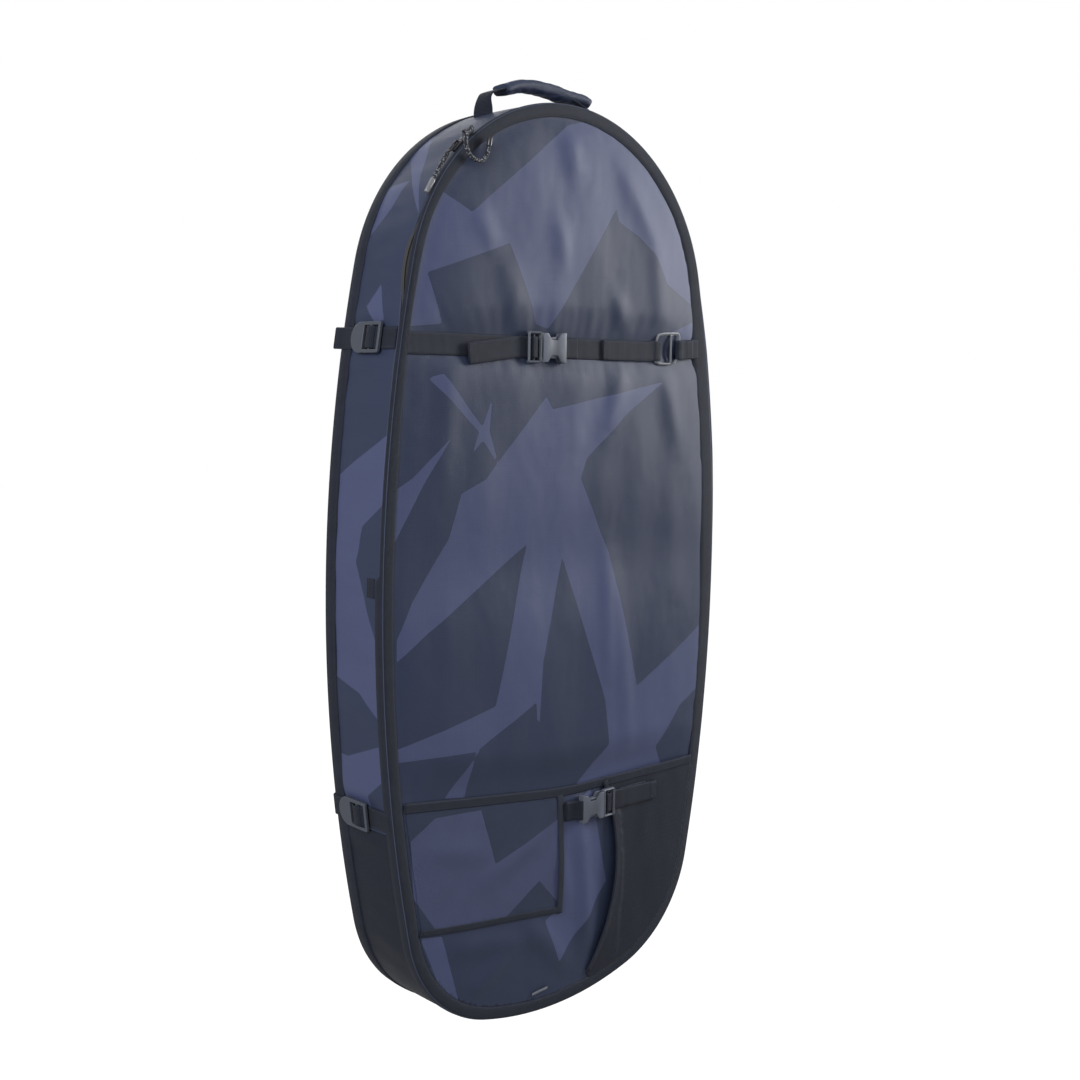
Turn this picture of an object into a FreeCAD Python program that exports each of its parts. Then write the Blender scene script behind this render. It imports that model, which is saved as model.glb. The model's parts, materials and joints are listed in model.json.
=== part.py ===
import FreeCAD, Part
import math
import os
from FreeCAD import Placement, Rotation, Vector

# A soft padded board bag that hangs by its grab handle: an upright egg-shaped
# shell, a front lid that a two-slider zip frees and that folds down on a line
# below the middle, straps with plastic buckles across the front, compression
# straps on both flanks, a front pocket, and a carrying harness on the back.
# Millimetres. X runs to the right, Y to the back, Z up. The origin is the hang
# point, on the underside of the handle above the middle of the shell.

DIMENSIONS = {
    # shell outline: a top cap, two long side arcs, two base corners, a base arc
    "shell_top": -16, "shell_height": 1117, "half_width": 279, "widest_drop": 590,
    "cap_radius": 243, "corner_radius": 165, "base_radius": 450, "shell_depth": 108,
    "fold_drop": 545, "seam_gap": 0.6,
    # walls
    "skin": 1.2, "lid_padding": 6, "back_padding": 10, "gusset_wall": 4,
    "gusset_split_drop": 841, "tape_thickness": 0.8,
    # bindings
    "binding_thickness": 1.6, "front_binding": 21, "back_binding": 15,
    "lid_binding_side": 5.5, "back_binding_side": 13, "binding_gap": 5,
    # zip
    "chain_middle": -45, "chain_half": 3, "chain_gap": 0.4, "chain_height": 3,
    "tape_reach": 12, "slider_length": 18, "slider_width": 10, "slider_plate": 1.8,
    "slider_lift": 2, "neck_width": 4, "slot_height": 2.7, "bar_height": 1.4,
    "bridge_width": 3, "bridge_length": 12, "slot_length": 6, "neck_floor": 0.3,
    "neck_setback": 1,
    "left_slider_angle": 134, "right_slider_angle": 129.6,
    "pull_cord_width": 5, "end_tab_width": 14, "end_tab_height": 22, "end_tab_gap": 2,
    # pull links and the fittings on the cords' ends
    "pin_radius": 0.9, "pin_overhang": 1.7, "cheek_thickness": 1.2, "cheek_length": 12,
    "shackle_end": 15, "eye_radius": 3, "eye_hole_radius": 1.8, "eye_thickness": 2.8,
    "blade_half": 0.8, "blade_start": 2.7, "blade_end": 12, "blade_width": 4,
    "left_tip_length": 16, "right_tip_length": 9, "tip_swell": 0.4,
    # webbing and the plastic hardware on it
    "webbing_width": 25, "webbing_thickness": 1.5, "lock_length": 34,
    "lock_width": 35, "lock_tab": 19, "lock_thickness": 4, "lock_lift": 3.6,
    "lock_bar": 4, "lock_corner": 3, "buckle_wall": 2, "buckle_gap": 5.4, "buckle_half": 17,
    "slot_play": 0.8, "arm_play": 0.4, "waist_depth": 7, "shoulder_length": 7,
    "waist_start": 13, "waist_end": 23, "flare_start": 29, "head_length": 7,
    "head_slot_start": 4.5, "head_slot_end": 2, "tongue_setback": 11, "layer_gap": 0.1,
    "socket_length": 37, "ladder_length": 22, "ladder_half": 19,
    "arm_thickness": 4.6, "tongue_half": 3.5, "buckle_lift": 3.4,
    # straps on the front
    "upper_strap_drop": 286, "lower_strap_drop": 865,
    "upper_tail_end": -165, "upper_plug_start": -76, "upper_right_tail": 53,
    "hook_start": 149, "hook_length": 49, "hook_height": 43, "hook_thickness": 3,
    "hook_wall": 4.5, "hook_split": 18, "hook_mouth": 15, "anchor_overlap": 14,
    "lower_strap_start": 13, "lower_socket_start": 25, "lower_tail_end": 169,
    "strap_tuck": 3, "socket_overlap": 6, "lower_tail_overrun": 20,
    "left_tail_tilt": -7, "left_tail_sag": 12, "right_tail_tilt": -2, "right_tail_sag": 3,
    "lower_tail_tilt": 2, "lower_tail_sag": 2, "lower_buckle_lift": 2,
    # compression straps on the flanks
    "flank_upper_drop": 281, "flank_lower_drop": 825, "upper_tail_back": 62,
    "lock_middle_upper": -6, "lock_middle_lower": 4, "flank_layer_gap": 0.2,
    "wrap_length": 32, "wrap_gap": 1.7, "tail_start_gap": 2,
    # handle
    "handle_middle": -8, "handle_radius": 198, "handle_reach": 23.5,
    "grip_height": 17, "grip_width": 34, "handle_pivot_drop": 6,
    "handle_web": 2, "leg_lean": 6, "leg_foot_rise": 4, "stub_gap": 4.3,
    "stub_floor": 0.4, "grip_floor": 0.2, "grip_setback": 3,
    # front pocket
    "hem_left_drop": 809, "hem_middle_drop": 838, "hem_right_drop": 842,
    "hem_width": 11, "pocket_cloth": 1, "window_bottom_drop": 996,
    "window_left_bottom_drop": 961, "trim": 10, "flap_edge_x": 72,
    "flap_end_x": 47, "flap_bow": 17, "flap_end_drop": 1092, "rim_gap": 0.4,
    "flap_gap": 1.2, "hem_tuck": 2, "trim_thickness": 0.4, "trim_gap": 0.2,
    "flap_trim": 9, "window_play": 0.3,
    # harness on the back
    "lumbar_half": 272, "lumbar_top_drop": 542, "lumbar_height": 143,
    "lumbar_thickness": 14, "strap_pad_width": 62, "strap_pad_thickness": 12,
    "strap_top_drop": 190, "strap_bottom_drop": 470, "strap_top_x": 62,
    "strap_bottom_x": 118, "lumbar_corner": 20, "strap_bow": 14, "strap_taper": 8,
    "adjuster_gap": 4, "web_gap": 0.4,
    # small sewn tag at the foot of the front
    "tag_x": -49, "tag_width": 26, "tag_height": 7, "tag_drop": 1093,
}

doc = FreeCAD.newDocument("board_bag")
sheet = doc.addObject("Spreadsheet::Sheet", "Sheet")
for row, (alias, number) in enumerate(DIMENSIONS.items(), start=1):
    sheet.set("A%d" % row, alias)
    sheet.set("B%d" % row, str(number))
    sheet.setAlias("B%d" % row, alias)
doc.recompute()

nodes = {}


def size(alias):
    """A driving dimension, read back from the sheet."""
    return float(sheet.get(alias))


def height(drop):
    """The Z of a level given as its distance below the shell's top."""
    return size("shell_top") - drop


# ---------------------------------------------------------------- outline
FRONT = -size("shell_depth") / 2
BACK = size("shell_depth") / 2
HALF = size("half_width")
CAP = size("cap_radius")
CORNER = size("corner_radius")
BASE = size("base_radius")
WAIST_Z = height(size("widest_drop"))
CAP_Z = height(CAP)
BASE_Z = height(size("shell_height")) + BASE
RISE = CAP_Z - WAIST_Z
SIDE = (HALF ** 2 + RISE ** 2 - CAP ** 2) / (2 * (HALF - CAP))
SIDE_X = HALF - SIDE
CAP_ANGLE = math.degrees(math.atan2(RISE, -SIDE_X))


def corner_centre():
    """Centre of the right base corner: inside the side arc and the base arc."""
    to_side = SIDE - CORNER
    to_base = BASE - CORNER
    span = math.hypot(SIDE_X, BASE_Z - WAIST_Z)
    along = (to_side ** 2 - to_base ** 2 + span ** 2) / (2 * span)
    across = math.sqrt(to_side ** 2 - along ** 2)
    ux = -SIDE_X / span
    uz = (BASE_Z - WAIST_Z) / span
    return SIDE_X + along * ux + across * uz, WAIST_Z + along * uz - across * ux


CORNER_X, CORNER_Z = corner_centre()
CORNER_ANGLE = math.degrees(math.atan2(CORNER_Z - WAIST_Z, CORNER_X - SIDE_X))
BASE_ANGLE = math.degrees(math.atan2(CORNER_Z - BASE_Z, CORNER_X))


def point(cx, cz, radius, angle):
    """A point of the XZ plane at an angle on a circle."""
    turn = math.radians(angle)
    return Vector(cx + radius * math.cos(turn), cz + radius * math.sin(turn), 0)


def arc(cx, cz, radius, start, end):
    """An arc of the XZ plane from one angle to another."""
    middle = (start + end) / 2
    return Part.Arc(point(cx, cz, radius, start), point(cx, cz, radius, middle),
                    point(cx, cz, radius, end))


def side_angle(z, inset):
    """The angle on the side arc at a level."""
    return math.degrees(math.asin((z - WAIST_Z) / (SIDE - inset)))


def half_at(z, inset=0):
    """Half the shell's width at a level of its side arcs."""
    return SIDE_X + math.sqrt((SIDE - inset) ** 2 - (z - WAIST_Z) ** 2)


def over_the_top(z, inset):
    """The outline above a level, from its right end over the cap to its left end."""
    low = side_angle(z, inset)
    radius = SIDE - inset
    return [arc(SIDE_X, WAIST_Z, radius, low, CAP_ANGLE),
            arc(0, CAP_Z, CAP - inset, CAP_ANGLE, 180 - CAP_ANGLE),
            arc(-SIDE_X, WAIST_Z, radius, 180 - CAP_ANGLE, 180 - low)]


def under_the_base(z, inset):
    """The outline below a level, from its left end round the base to its right end."""
    high = side_angle(z, inset)
    radius = SIDE - inset
    corner = CORNER - inset
    return [arc(-SIDE_X, WAIST_Z, radius, 180 - high, 180 - CORNER_ANGLE),
            arc(-CORNER_X, CORNER_Z, corner, 180 - CORNER_ANGLE, 180 - BASE_ANGLE),
            arc(0, BASE_Z, BASE - inset, 180 - BASE_ANGLE, 360 + BASE_ANGLE),
            arc(CORNER_X, CORNER_Z, corner, BASE_ANGLE, CORNER_ANGLE),
            arc(SIDE_X, WAIST_Z, radius, CORNER_ANGLE, high)]


def line(a, b):
    return Part.LineSegment(a, b)


def joined(outer, inner):
    """Two open chains of the same sense, closed by a line at each end."""
    first = line(outer[-1].EndPoint, inner[-1].EndPoint)
    last = line(inner[0].StartPoint, outer[0].StartPoint)
    return outer + [first] + inner + [last]


def closed(chain):
    return chain + [line(chain[-1].EndPoint, chain[0].StartPoint)]


def upper_ring(outer, inner, z):
    return joined(over_the_top(z, outer), over_the_top(z, inner))


def lower_ring(outer, inner, z):
    return joined(under_the_base(z, outer), under_the_base(z, inner))


def whole(inset):
    return over_the_top(WAIST_Z, inset) + under_the_base(WAIST_Z, inset)


# ---------------------------------------------------------------- builders
def part_body(name):
    body = doc.addObject("PartDesign::Body", name)
    body.Label = name
    nodes[name] = body
    return body


def add_pad(body, title, role, geometry, offset, length, middle=False):
    """Pads closed geometry on an origin plane moved out by an expression."""
    sketch = body.newObject("Sketcher::SketchObject", title + "_sketch")
    plane = [f for f in body.Origin.OriginFeatures if f.Role == role][0]
    sketch.AttachmentSupport = [(plane, "")]
    sketch.MapMode = "FlatFace"
    sketch.setExpression("AttachmentOffset.Base.z", offset)
    sketch.addGeometry(geometry, False)
    pad = body.newObject("PartDesign::Pad", title + "_pad")
    pad.Profile = sketch
    pad.Midplane = middle
    pad.setExpression("Length", length)
    return pad


def sheet_of(name, geometry, back, thickness):
    """A flat piece in the XZ plane, from the level back towards the front."""
    body = part_body(name)
    add_pad(body, name, "XZ_Plane", geometry, "-(%s)" % back, thickness)
    return body


def box(name, sizes, corner, frame=Placement()):
    """A box with its three sizes bound to the sheet and a low corner in a frame."""
    solid = doc.addObject("Part::Box", name)
    for edge, rule in zip(("Length", "Width", "Height"), sizes):
        solid.setExpression(edge, rule)
    solid.Placement = frame.multiply(Placement(Vector(*corner), Rotation()))
    return solid


def group(name, solids):
    """Separate solids that share a node."""
    bundle = doc.addObject("Part::Compound", name)
    bundle.Label = name
    bundle.Links = solids
    nodes[name] = bundle
    return bundle


def polygon(points):
    """Closed straight edges through points given as (x, z)."""
    corners = [Vector(x, z, 0) for x, z in points]
    return [line(a, b) for a, b in zip(corners, corners[1:] + corners[:1])]


def rectangle(x0, x1, z0, z1):
    return polygon([(x0, z0), (x1, z0), (x1, z1), (x0, z1)])


# ---------------------------------------------------------------- shell
FOLD_Z = height(size("fold_drop"))
LID_Z = FOLD_Z + size("seam_gap") / 2
LOW_Z = FOLD_Z - size("seam_gap") / 2
SPLIT_Z = height(size("gusset_split_drop"))
WALL = size("gusset_wall")
INSIDE = WALL + size("tape_thickness")
PROUD = -size("binding_thickness")
CHAIN_OUT = WALL - size("chain_height")

front_face = "-Sheet.shell_depth / 2"
back_face = "Sheet.shell_depth / 2"
behind_skin = front_face + " + Sheet.skin"
chain_front = "Sheet.chain_middle - Sheet.chain_half"
chain_back = "Sheet.chain_middle + Sheet.chain_half"
before_split = "Sheet.chain_middle - Sheet.chain_gap / 2"
after_split = "Sheet.chain_middle + Sheet.chain_gap / 2"


def make_shell():
    sheet_of("lid_fabric", closed(over_the_top(LID_Z, 0)), behind_skin, "Sheet.skin")
    sheet_of("lid_foam", closed(over_the_top(LID_Z, INSIDE)),
             behind_skin + " + Sheet.lid_padding", "Sheet.lid_padding")
    sheet_of("lower_front_fabric", closed(under_the_base(LOW_Z, 0)), behind_skin, "Sheet.skin")
    sheet_of("lower_front_foam", closed(under_the_base(LOW_Z, INSIDE)),
             behind_skin + " + Sheet.lid_padding", "Sheet.lid_padding")
    sheet_of("back_panel_fabric", whole(0), back_face, "Sheet.skin")
    sheet_of("back_panel_foam", whole(WALL), back_face + " - Sheet.skin",
             "Sheet.back_padding")

    # The gusset stops behind the zip above the fold, and below it runs to the front panel.
    gusset_back = back_face + " - Sheet.skin"
    full_depth = "Sheet.shell_depth - 2 * Sheet.skin"
    zipped_depth = "Sheet.shell_depth / 2 - Sheet.skin - Sheet.chain_middle - Sheet.chain_half"
    upper = part_body("gusset_upper")
    add_pad(upper, "zipped", "XZ_Plane", upper_ring(0, WALL, LID_Z),
            "-(%s)" % gusset_back, zipped_depth)
    add_pad(upper, "plain", "XZ_Plane", side_bands(0, WALL, SPLIT_Z, LID_Z),
            "-(%s)" % gusset_back, full_depth)
    sheet_of("gusset_lower", lower_ring(0, WALL, SPLIT_Z - size("seam_gap")),
             gusset_back, full_depth)


def side_bands(outer, inner, low, high):
    """The two stretches of the side wall between two levels."""
    bands = []
    for centre, turn in ((SIDE_X, 0), (-SIDE_X, 180)):
        sign = 1 if turn == 0 else -1
        spans = [(SIDE - inset, side_angle(low, inset), side_angle(high, inset))
                 for inset in (outer, inner)]
        edges = [arc(centre, WAIST_Z, radius, turn + sign * a, turn + sign * b)
                 for radius, a, b in spans]
        bands += joined([edges[0]], [edges[1]])
    return bands


def make_bindings():
    """Edge tapes that stand proud, so the front two stop short of the fold to clear it."""
    inner = size("front_binding")
    above = FOLD_Z + size("binding_gap")
    below = FOLD_Z - size("binding_gap")
    for name, face, edge, depth in (
            ("lid_binding", upper_ring(PROUD, inner, above),
             upper_ring(PROUD, 0, above), "Sheet.lid_binding_side"),
            ("lower_front_binding", lower_ring(PROUD, inner, below),
             lower_ring(PROUD, 0, below), "Sheet.back_binding_side")):
        body = part_body(name)
        add_pad(body, name + "_face", "XZ_Plane", face, "-(%s)" % front_face,
                "Sheet.binding_thickness")
        add_pad(body, name + "_edge", "XZ_Plane", edge,
                "-(%s + %s)" % (front_face, depth), depth)
    body = part_body("back_binding")
    add_pad(body, "back_binding_face", "XZ_Plane", whole(PROUD) + whole(size("back_binding")),
            "-(%s + Sheet.binding_thickness)" % back_face, "Sheet.binding_thickness")
    add_pad(body, "back_binding_edge", "XZ_Plane", whole(PROUD) + whole(0),
            "-(%s)" % back_face, "Sheet.back_binding_side")


# ---------------------------------------------------------------- zip
def make_zip():
    sheet_of("zip_tape_body", upper_ring(WALL, INSIDE, LID_Z),
             after_split + " + Sheet.tape_reach", "Sheet.tape_reach")
    sheet_of("zip_tape_lid", upper_ring(WALL, INSIDE, LID_Z), before_split,
             "%s - (%s)" % (before_split, behind_skin))
    sheet_of("zip_chain_body", upper_ring(CHAIN_OUT, WALL, LID_Z), chain_back,
             "Sheet.chain_half - Sheet.chain_gap / 2")
    sheet_of("zip_chain_lid", upper_ring(CHAIN_OUT, WALL, LID_Z), before_split,
             "Sheet.chain_half - Sheet.chain_gap / 2")
    tabs = []
    for title, frame in (("right_tab", flank(LOW_Z - size("end_tab_height") / 2, 1)),
                         ("left_tab", flank(LOW_Z - size("end_tab_height") / 2, -1))):
        front = size("chain_middle") + size("chain_half") + size("end_tab_gap")
        corner = (0, front, -size("end_tab_height") / 2)
        tabs.append(box(title, ("Sheet.binding_thickness", "Sheet.end_tab_width",
                                "Sheet.end_tab_height"), corner, frame))
    group("zip_end_tabs", tabs)


def flank(z, side):
    """A frame on the shell's edge at a level: X points outwards, Y to the back."""
    angle = side_angle(z, 0)
    turn = angle if side > 0 else 180 - angle
    return Placement(Vector(side * half_at(z), 0, z), Rotation(Vector(0, 1, 0), -turn))


def on_cap(angle):
    """A frame on the cap over the chain: X outwards, Z along the growing angle."""
    at = point(0, CAP_Z, CAP, angle)
    return Placement(Vector(at.x, size("chain_middle"), at.y),
                     Rotation(Vector(0, 1, 0), -angle))


def make_slider(name, frame):
    """A plate over the tapes, a neck down to the chain and an arched bridge."""
    length = size("slider_length")
    lift = size("slider_lift")
    top = lift + size("slider_plate")
    bar = top + size("slot_height")
    neck_floor = size("neck_floor") - CHAIN_OUT
    neck_half = length / 2 - size("neck_setback")
    body = part_body(name)
    body.Placement = frame
    add_pad(body, name + "_neck", "XZ_Plane",
            rectangle(neck_floor, lift, -neck_half, neck_half),
            "-Sheet.neck_width / 2", "Sheet.neck_width")
    add_pad(body, name + "_plate", "XZ_Plane", rectangle(lift, top, -length / 2, length / 2),
            "-Sheet.slider_width / 2", "Sheet.slider_width")
    foot = size("bridge_length") / 2
    slot = size("slot_length") / 2
    arch = polygon([(top, -foot), (bar + size("bar_height"), -slot),
                    (bar + size("bar_height"), slot), (top, foot), (top, slot),
                    (bar, slot), (bar, -slot), (top, -slot)])
    add_pad(body, name + "_bridge", "XZ_Plane", arch, "-Sheet.bridge_width / 2",
            "Sheet.bridge_width")


def make_left_pull(frame):
    """A link whose pin goes through the bridge, so that it flips along the zip."""
    pin_x = size("slider_lift") + size("slider_plate") + size("slot_height") / 2
    body = part_body("pull_link_left")
    body.Placement = frame
    wire = size("pin_radius")
    side = "Sheet.bridge_width / 2 + Sheet.pin_overhang"
    across = "Sheet.bridge_width + 2 * Sheet.pin_overhang"
    circle = Part.Circle(Vector(pin_x, 0, 0), Vector(0, 0, 1), wire)
    add_pad(body, "left_pin", "XZ_Plane", [circle], "-(%s)" % side, across)
    end = size("cheek_length")
    cheek = rectangle(pin_x - wire, pin_x + wire, -wire, end)
    for title, offset in (("near_cheek", "-(%s)" % side),
                          ("far_cheek", side + " - Sheet.cheek_thickness")):
        add_pad(body, title, "XZ_Plane", cheek, offset, "Sheet.cheek_thickness")
    shackle = rectangle(pin_x - wire, pin_x + wire, end, size("shackle_end"))
    add_pad(body, "left_shackle", "XZ_Plane", shackle, "-(%s)" % side, across)


def make_right_pull(frame):
    """A link with a round eye about the bridge's bar, so that it flips over the front."""
    bar = size("slider_lift") + size("slider_plate") + size("slot_height")
    axis_x = bar + size("bar_height") / 2
    body = part_body("pull_link_right")
    body.Placement = frame
    eye = [Part.Circle(Vector(axis_x, 0, 0), Vector(0, 0, 1), size(radius))
           for radius in ("eye_radius", "eye_hole_radius")]
    add_pad(body, "eye", "XY_Plane", eye, "-Sheet.eye_thickness / 2", "Sheet.eye_thickness")
    half = size("blade_half")
    blade = rectangle(axis_x - half, axis_x + half, -size("blade_end"), -size("blade_start"))
    add_pad(body, "blade", "XY_Plane", blade, "-Sheet.blade_width / 2", "Sheet.blade_width")


def cord_path(points):
    """Straight runs joined by tangent arcs, each as large as its runs allow."""
    ends = [points[0]]
    edges = []
    radii = []
    for before, corner, after in zip(points, points[1:], points[2:]):
        back = before - corner
        ahead = after - corner
        turn = math.pi - back.getAngle(ahead)
        reach = 0.45 * min(back.Length, ahead.Length)
        radii.append(reach / math.tan(turn / 2))
        enter = corner + back.normalize() * reach
        leave = corner + ahead.normalize() * reach
        inward = (enter + leave) * 0.5 - corner
        depth = radii[-1] / math.cos(turn / 2) - radii[-1]
        edges.append(line(ends[-1], enter).toShape())
        edges.append(Part.Arc(enter, corner + inward.normalize() * depth, leave).toShape())
        ends.append(leave)
    edges.append(line(ends[-1], points[-1]).toShape())
    return Part.Wire(edges), radii


def make_cord(name, points):
    """A round cord swept along its path."""
    wire, radii = cord_path(points)
    width = size("pull_cord_width")
    start = points[1] - points[0]
    section = Part.Wire(Part.makeCircle(width / 2, points[0], start))
    tube = wire.makePipeShell([section], True, False)
    feature = doc.addObject("Part::Feature", name)
    feature.Label = name
    feature.Shape = tube
    nodes[name] = feature
    expected = math.pi * width ** 2 / 4 * wire.Length
    print(name, "length %.1f" % wire.Length, "volume ratio %.3f" % (tube.Volume / expected),
          "radii", " ".join("%.1f" % radius for radius in radii))


def end_cap(name, centre, towards, length):
    """A round end fitting in line with the last run of a cord."""
    solid = doc.addObject("Part::Cylinder", name)
    solid.Label = name
    solid.setExpression("Radius", "Sheet.pull_cord_width / 2 + Sheet.tip_swell")
    solid.setExpression("Height", length)
    solid.Placement = Placement(centre, Rotation(Vector(0, 0, 1), towards))
    nodes[name] = solid


# Routes of the two pull cords, from their links to their ends.
LEFT_ROUTE = [Vector(-185.5, -46, -93), Vector(-191.5, -48, -100), Vector(-197.5, -50, -107.5),
              Vector(-203.5, -51, -116), Vector(-209, -50.5, -125)]
RIGHT_ROUTE = [Vector(-161, -60, -63), Vector(-169.5, -60.5, -70), Vector(-172, -61, -81),
               Vector(-167.5, -61, -91.5), Vector(-158, -61, -98.5), Vector(-147, -61, -98.5),
               Vector(-139, -61, -91), Vector(-137, -61, -80)]


def make_pulls():
    left = on_cap(size("left_slider_angle"))
    right = on_cap(size("right_slider_angle"))
    make_slider("zip_slider_left", left)
    make_slider("zip_slider_right", right)
    make_left_pull(left)
    make_right_pull(right)
    for side, route in (("left", LEFT_ROUTE), ("right", RIGHT_ROUTE)):
        make_cord("pull_cord_" + side, route)
        end_cap("pull_tip_" + side, route[-1], route[-1] - route[-2],
                "Sheet.%s_tip_length" % side)


# ---------------------------------------------------------------- webbing hardware
def make_lock(name, frame, middle):
    """A ladder lock: a frame with two slots and a round thumb tab at its back end."""
    body = part_body(name)
    body.Placement = frame
    half = size("lock_width") / 2
    front = middle - size("lock_length") / 2
    rear = middle + size("lock_length") / 2
    bar = size("lock_bar")
    corner = size("lock_corner")
    outline = [line(Vector(front, half - corner, 0), Vector(front, corner - half, 0)),
               arc(front + corner, corner - half, corner, 180, 270),
               line(Vector(front + corner, -half, 0), Vector(rear, -half, 0)),
               Part.Arc(Vector(rear, -half, 0), Vector(rear + size("lock_tab"), 0, 0),
                        Vector(rear, half, 0)),
               line(Vector(rear, half, 0), Vector(front + corner, half, 0)),
               arc(front + corner, half - corner, corner, 90, 180)]
    slot_half = half - bar
    slot = (size("lock_length") - 3 * bar) / 2
    first = rectangle(front + bar, front + bar + slot, -slot_half, slot_half)
    second = rectangle(front + 2 * bar + slot, front + 2 * bar + 2 * slot,
                       -slot_half, slot_half)
    add_pad(body, name, "YZ_Plane", outline + first + second, "Sheet.lock_lift",
            "Sheet.lock_thickness")


# A buckle arm's outline: how far its root's two corners lie from the middle line, and then
# its thumb's corners, as lengths along the socket and from the middle line.
ARM_ROOT = (9.2, 12.6)
ARM_THUMB = ((12, 13), (15, 15.5), (22, 15.5), (25, 13), (26, 9.4))


def make_buckle(prefix, frame):
    """A side release buckle: ladder plug with two sprung arms, and a hollow socket."""
    ladder = size("ladder_length")
    half = size("buckle_half")
    wide = size("ladder_half")
    reach = size("socket_length")
    bar = size("lock_bar")
    slot = (ladder - 3 * bar) / 2
    slot_half = size("webbing_width") / 2 + size("slot_play")
    depth = "2 * Sheet.buckle_wall + Sheet.buckle_gap"

    plug = part_body(prefix + "_buckle_plug")
    plug.Placement = frame
    holes = rectangle(bar, bar + slot, -slot_half, slot_half)
    holes += rectangle(2 * bar + slot, 2 * bar + 2 * slot, -slot_half, slot_half)
    add_pad(plug, prefix + "_ladder", "XZ_Plane", rectangle(0, ladder, -wide, wide) + holes,
            "0", depth)
    tongue = size("tongue_half")
    tip = ladder + reach - size("tongue_setback")
    add_pad(plug, prefix + "_tongue", "XZ_Plane", rectangle(ladder - 1, tip, -tongue, tongue),
            "Sheet.buckle_wall + Sheet.arm_play", "Sheet.arm_thickness")

    # Outline of the socket's two walls: straight flanks, pinched where the arms show.
    start = ladder + 1
    end = ladder + 1 + reach
    waist = half - size("waist_depth")
    flank_line = [(start, half), (start + size("shoulder_length"), half),
                  (start + size("waist_start"), waist), (start + size("waist_end"), waist),
                  (start + size("flare_start"), half), (end, half)]
    wall = polygon([(x, -v) for x, v in flank_line] + flank_line[::-1])
    socket = part_body(prefix + "_buckle_socket")
    socket.Placement = frame
    add_pad(socket, prefix + "_back_wall", "XZ_Plane", wall, "0", "Sheet.buckle_wall")
    head = rectangle(end - size("head_length"), end, -half, half)
    hole = rectangle(end - size("head_slot_start"), end - size("head_slot_end"),
                     -slot_half, slot_half)
    add_pad(socket, prefix + "_head", "XZ_Plane", head + hole, "Sheet.buckle_wall",
            "Sheet.buckle_gap")
    add_pad(socket, prefix + "_front_wall", "XZ_Plane", wall,
            "Sheet.buckle_wall + Sheet.buckle_gap", "Sheet.buckle_wall")

    # The arms lie in the socket's gap and reach out of the waist under the thumbs.
    for title, sign in (("top", 1), ("bottom", -1)):
        arm = part_body("%s_buckle_arm_%s" % (prefix, title))
        arm.Placement = frame
        root = ladder + size("arm_play")
        add_pad(arm, "%s_%s_arm" % (prefix, title), "XZ_Plane",
                polygon([(root, sign * ARM_ROOT[0]), (root, sign * ARM_ROOT[1])]
                        + [(start + x, sign * v) for x, v in ARM_THUMB]),
                "Sheet.buckle_wall + Sheet.arm_play", "Sheet.arm_thickness")


def strap(name, length, start, z, layer, tilt=0):
    """A length of webbing on the front face; layer 0 lies on the cloth."""
    lift = size("webbing_thickness") * (layer + 1) + size("layer_gap") * layer
    frame = Placement(Vector(start, FRONT - lift, z), Rotation(Vector(0, 1, 0), tilt))
    return box(name, (length, "Sheet.webbing_thickness", "Sheet.webbing_width"),
               (0, 0, -size("webbing_width") / 2), frame)


def make_front_straps():
    upper = height(size("upper_strap_drop"))
    lower = height(size("lower_strap_drop"))
    edge = half_at(upper, size("front_binding")) - size("strap_tuck")
    buckle_face = FRONT - size("buckle_lift")
    plug = size("upper_plug_start")
    tail = size("upper_tail_end")
    overlap = "Sheet.ladder_length / 2"

    base = strap("upper_left_base", "%g + %s" % (edge + plug, overlap), -edge, upper, 0)
    back = strap("upper_left_tail", "Sheet.upper_plug_start - Sheet.upper_tail_end - 1",
                 tail, upper - size("left_tail_sag"), 1, size("left_tail_tilt"))
    group("upper_strap_left", [base, back])
    make_buckle("upper", Placement(Vector(plug, buckle_face, upper), Rotation()))

    socket_end = plug + size("ladder_length") + 1 + size("socket_length")
    overlap = size("socket_overlap")
    run = "Sheet.hook_start - %g" % (socket_end - 2 * overlap)
    base = strap("upper_right_base", run, socket_end - overlap, upper, 0)
    back = strap("upper_right_tail", "Sheet.hook_start - Sheet.upper_right_tail - 1",
                 size("upper_right_tail"), upper - size("right_tail_sag"), 1,
                 size("right_tail_tilt"))
    group("upper_strap_right", [base, back])
    anchor_start = size("hook_start") + size("hook_length") - size("anchor_overlap")
    anchor = strap("hook_anchor", "%g" % (edge - anchor_start), anchor_start, upper, 0)
    nodes["hook_anchor"] = anchor
    make_hook(Placement(Vector(size("hook_start"), buckle_face, upper), Rotation()))

    start = size("lower_strap_start")
    socket_start = size("lower_socket_start")
    length = size("ladder_length") + 1 + size("socket_length")
    base = strap("lower_strap_left", "%g" % (socket_start + overlap - start), start, lower, 1)
    nodes["lower_strap_left"] = base
    lower_face = buckle_face - size("lower_buckle_lift")
    turned = Placement(Vector(socket_start + length, lower_face, lower),
                       Rotation(Vector(0, 1, 0), 180))
    make_buckle("lower", turned)
    plug_end = socket_start + length
    base_start = plug_end - size("ladder_length") / 2
    base_end = "Sheet.lower_tail_end - Sheet.lower_tail_overrun"
    base = strap("lower_right_base", "%s - %g" % (base_end, base_start), base_start, lower, 1)
    back = strap("lower_right_tail", "Sheet.lower_tail_end - %g" % (plug_end + 1),
                 plug_end + 1, lower - size("lower_tail_sag"), 2, size("lower_tail_tilt"))
    group("lower_strap_right", [base, back])


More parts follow.
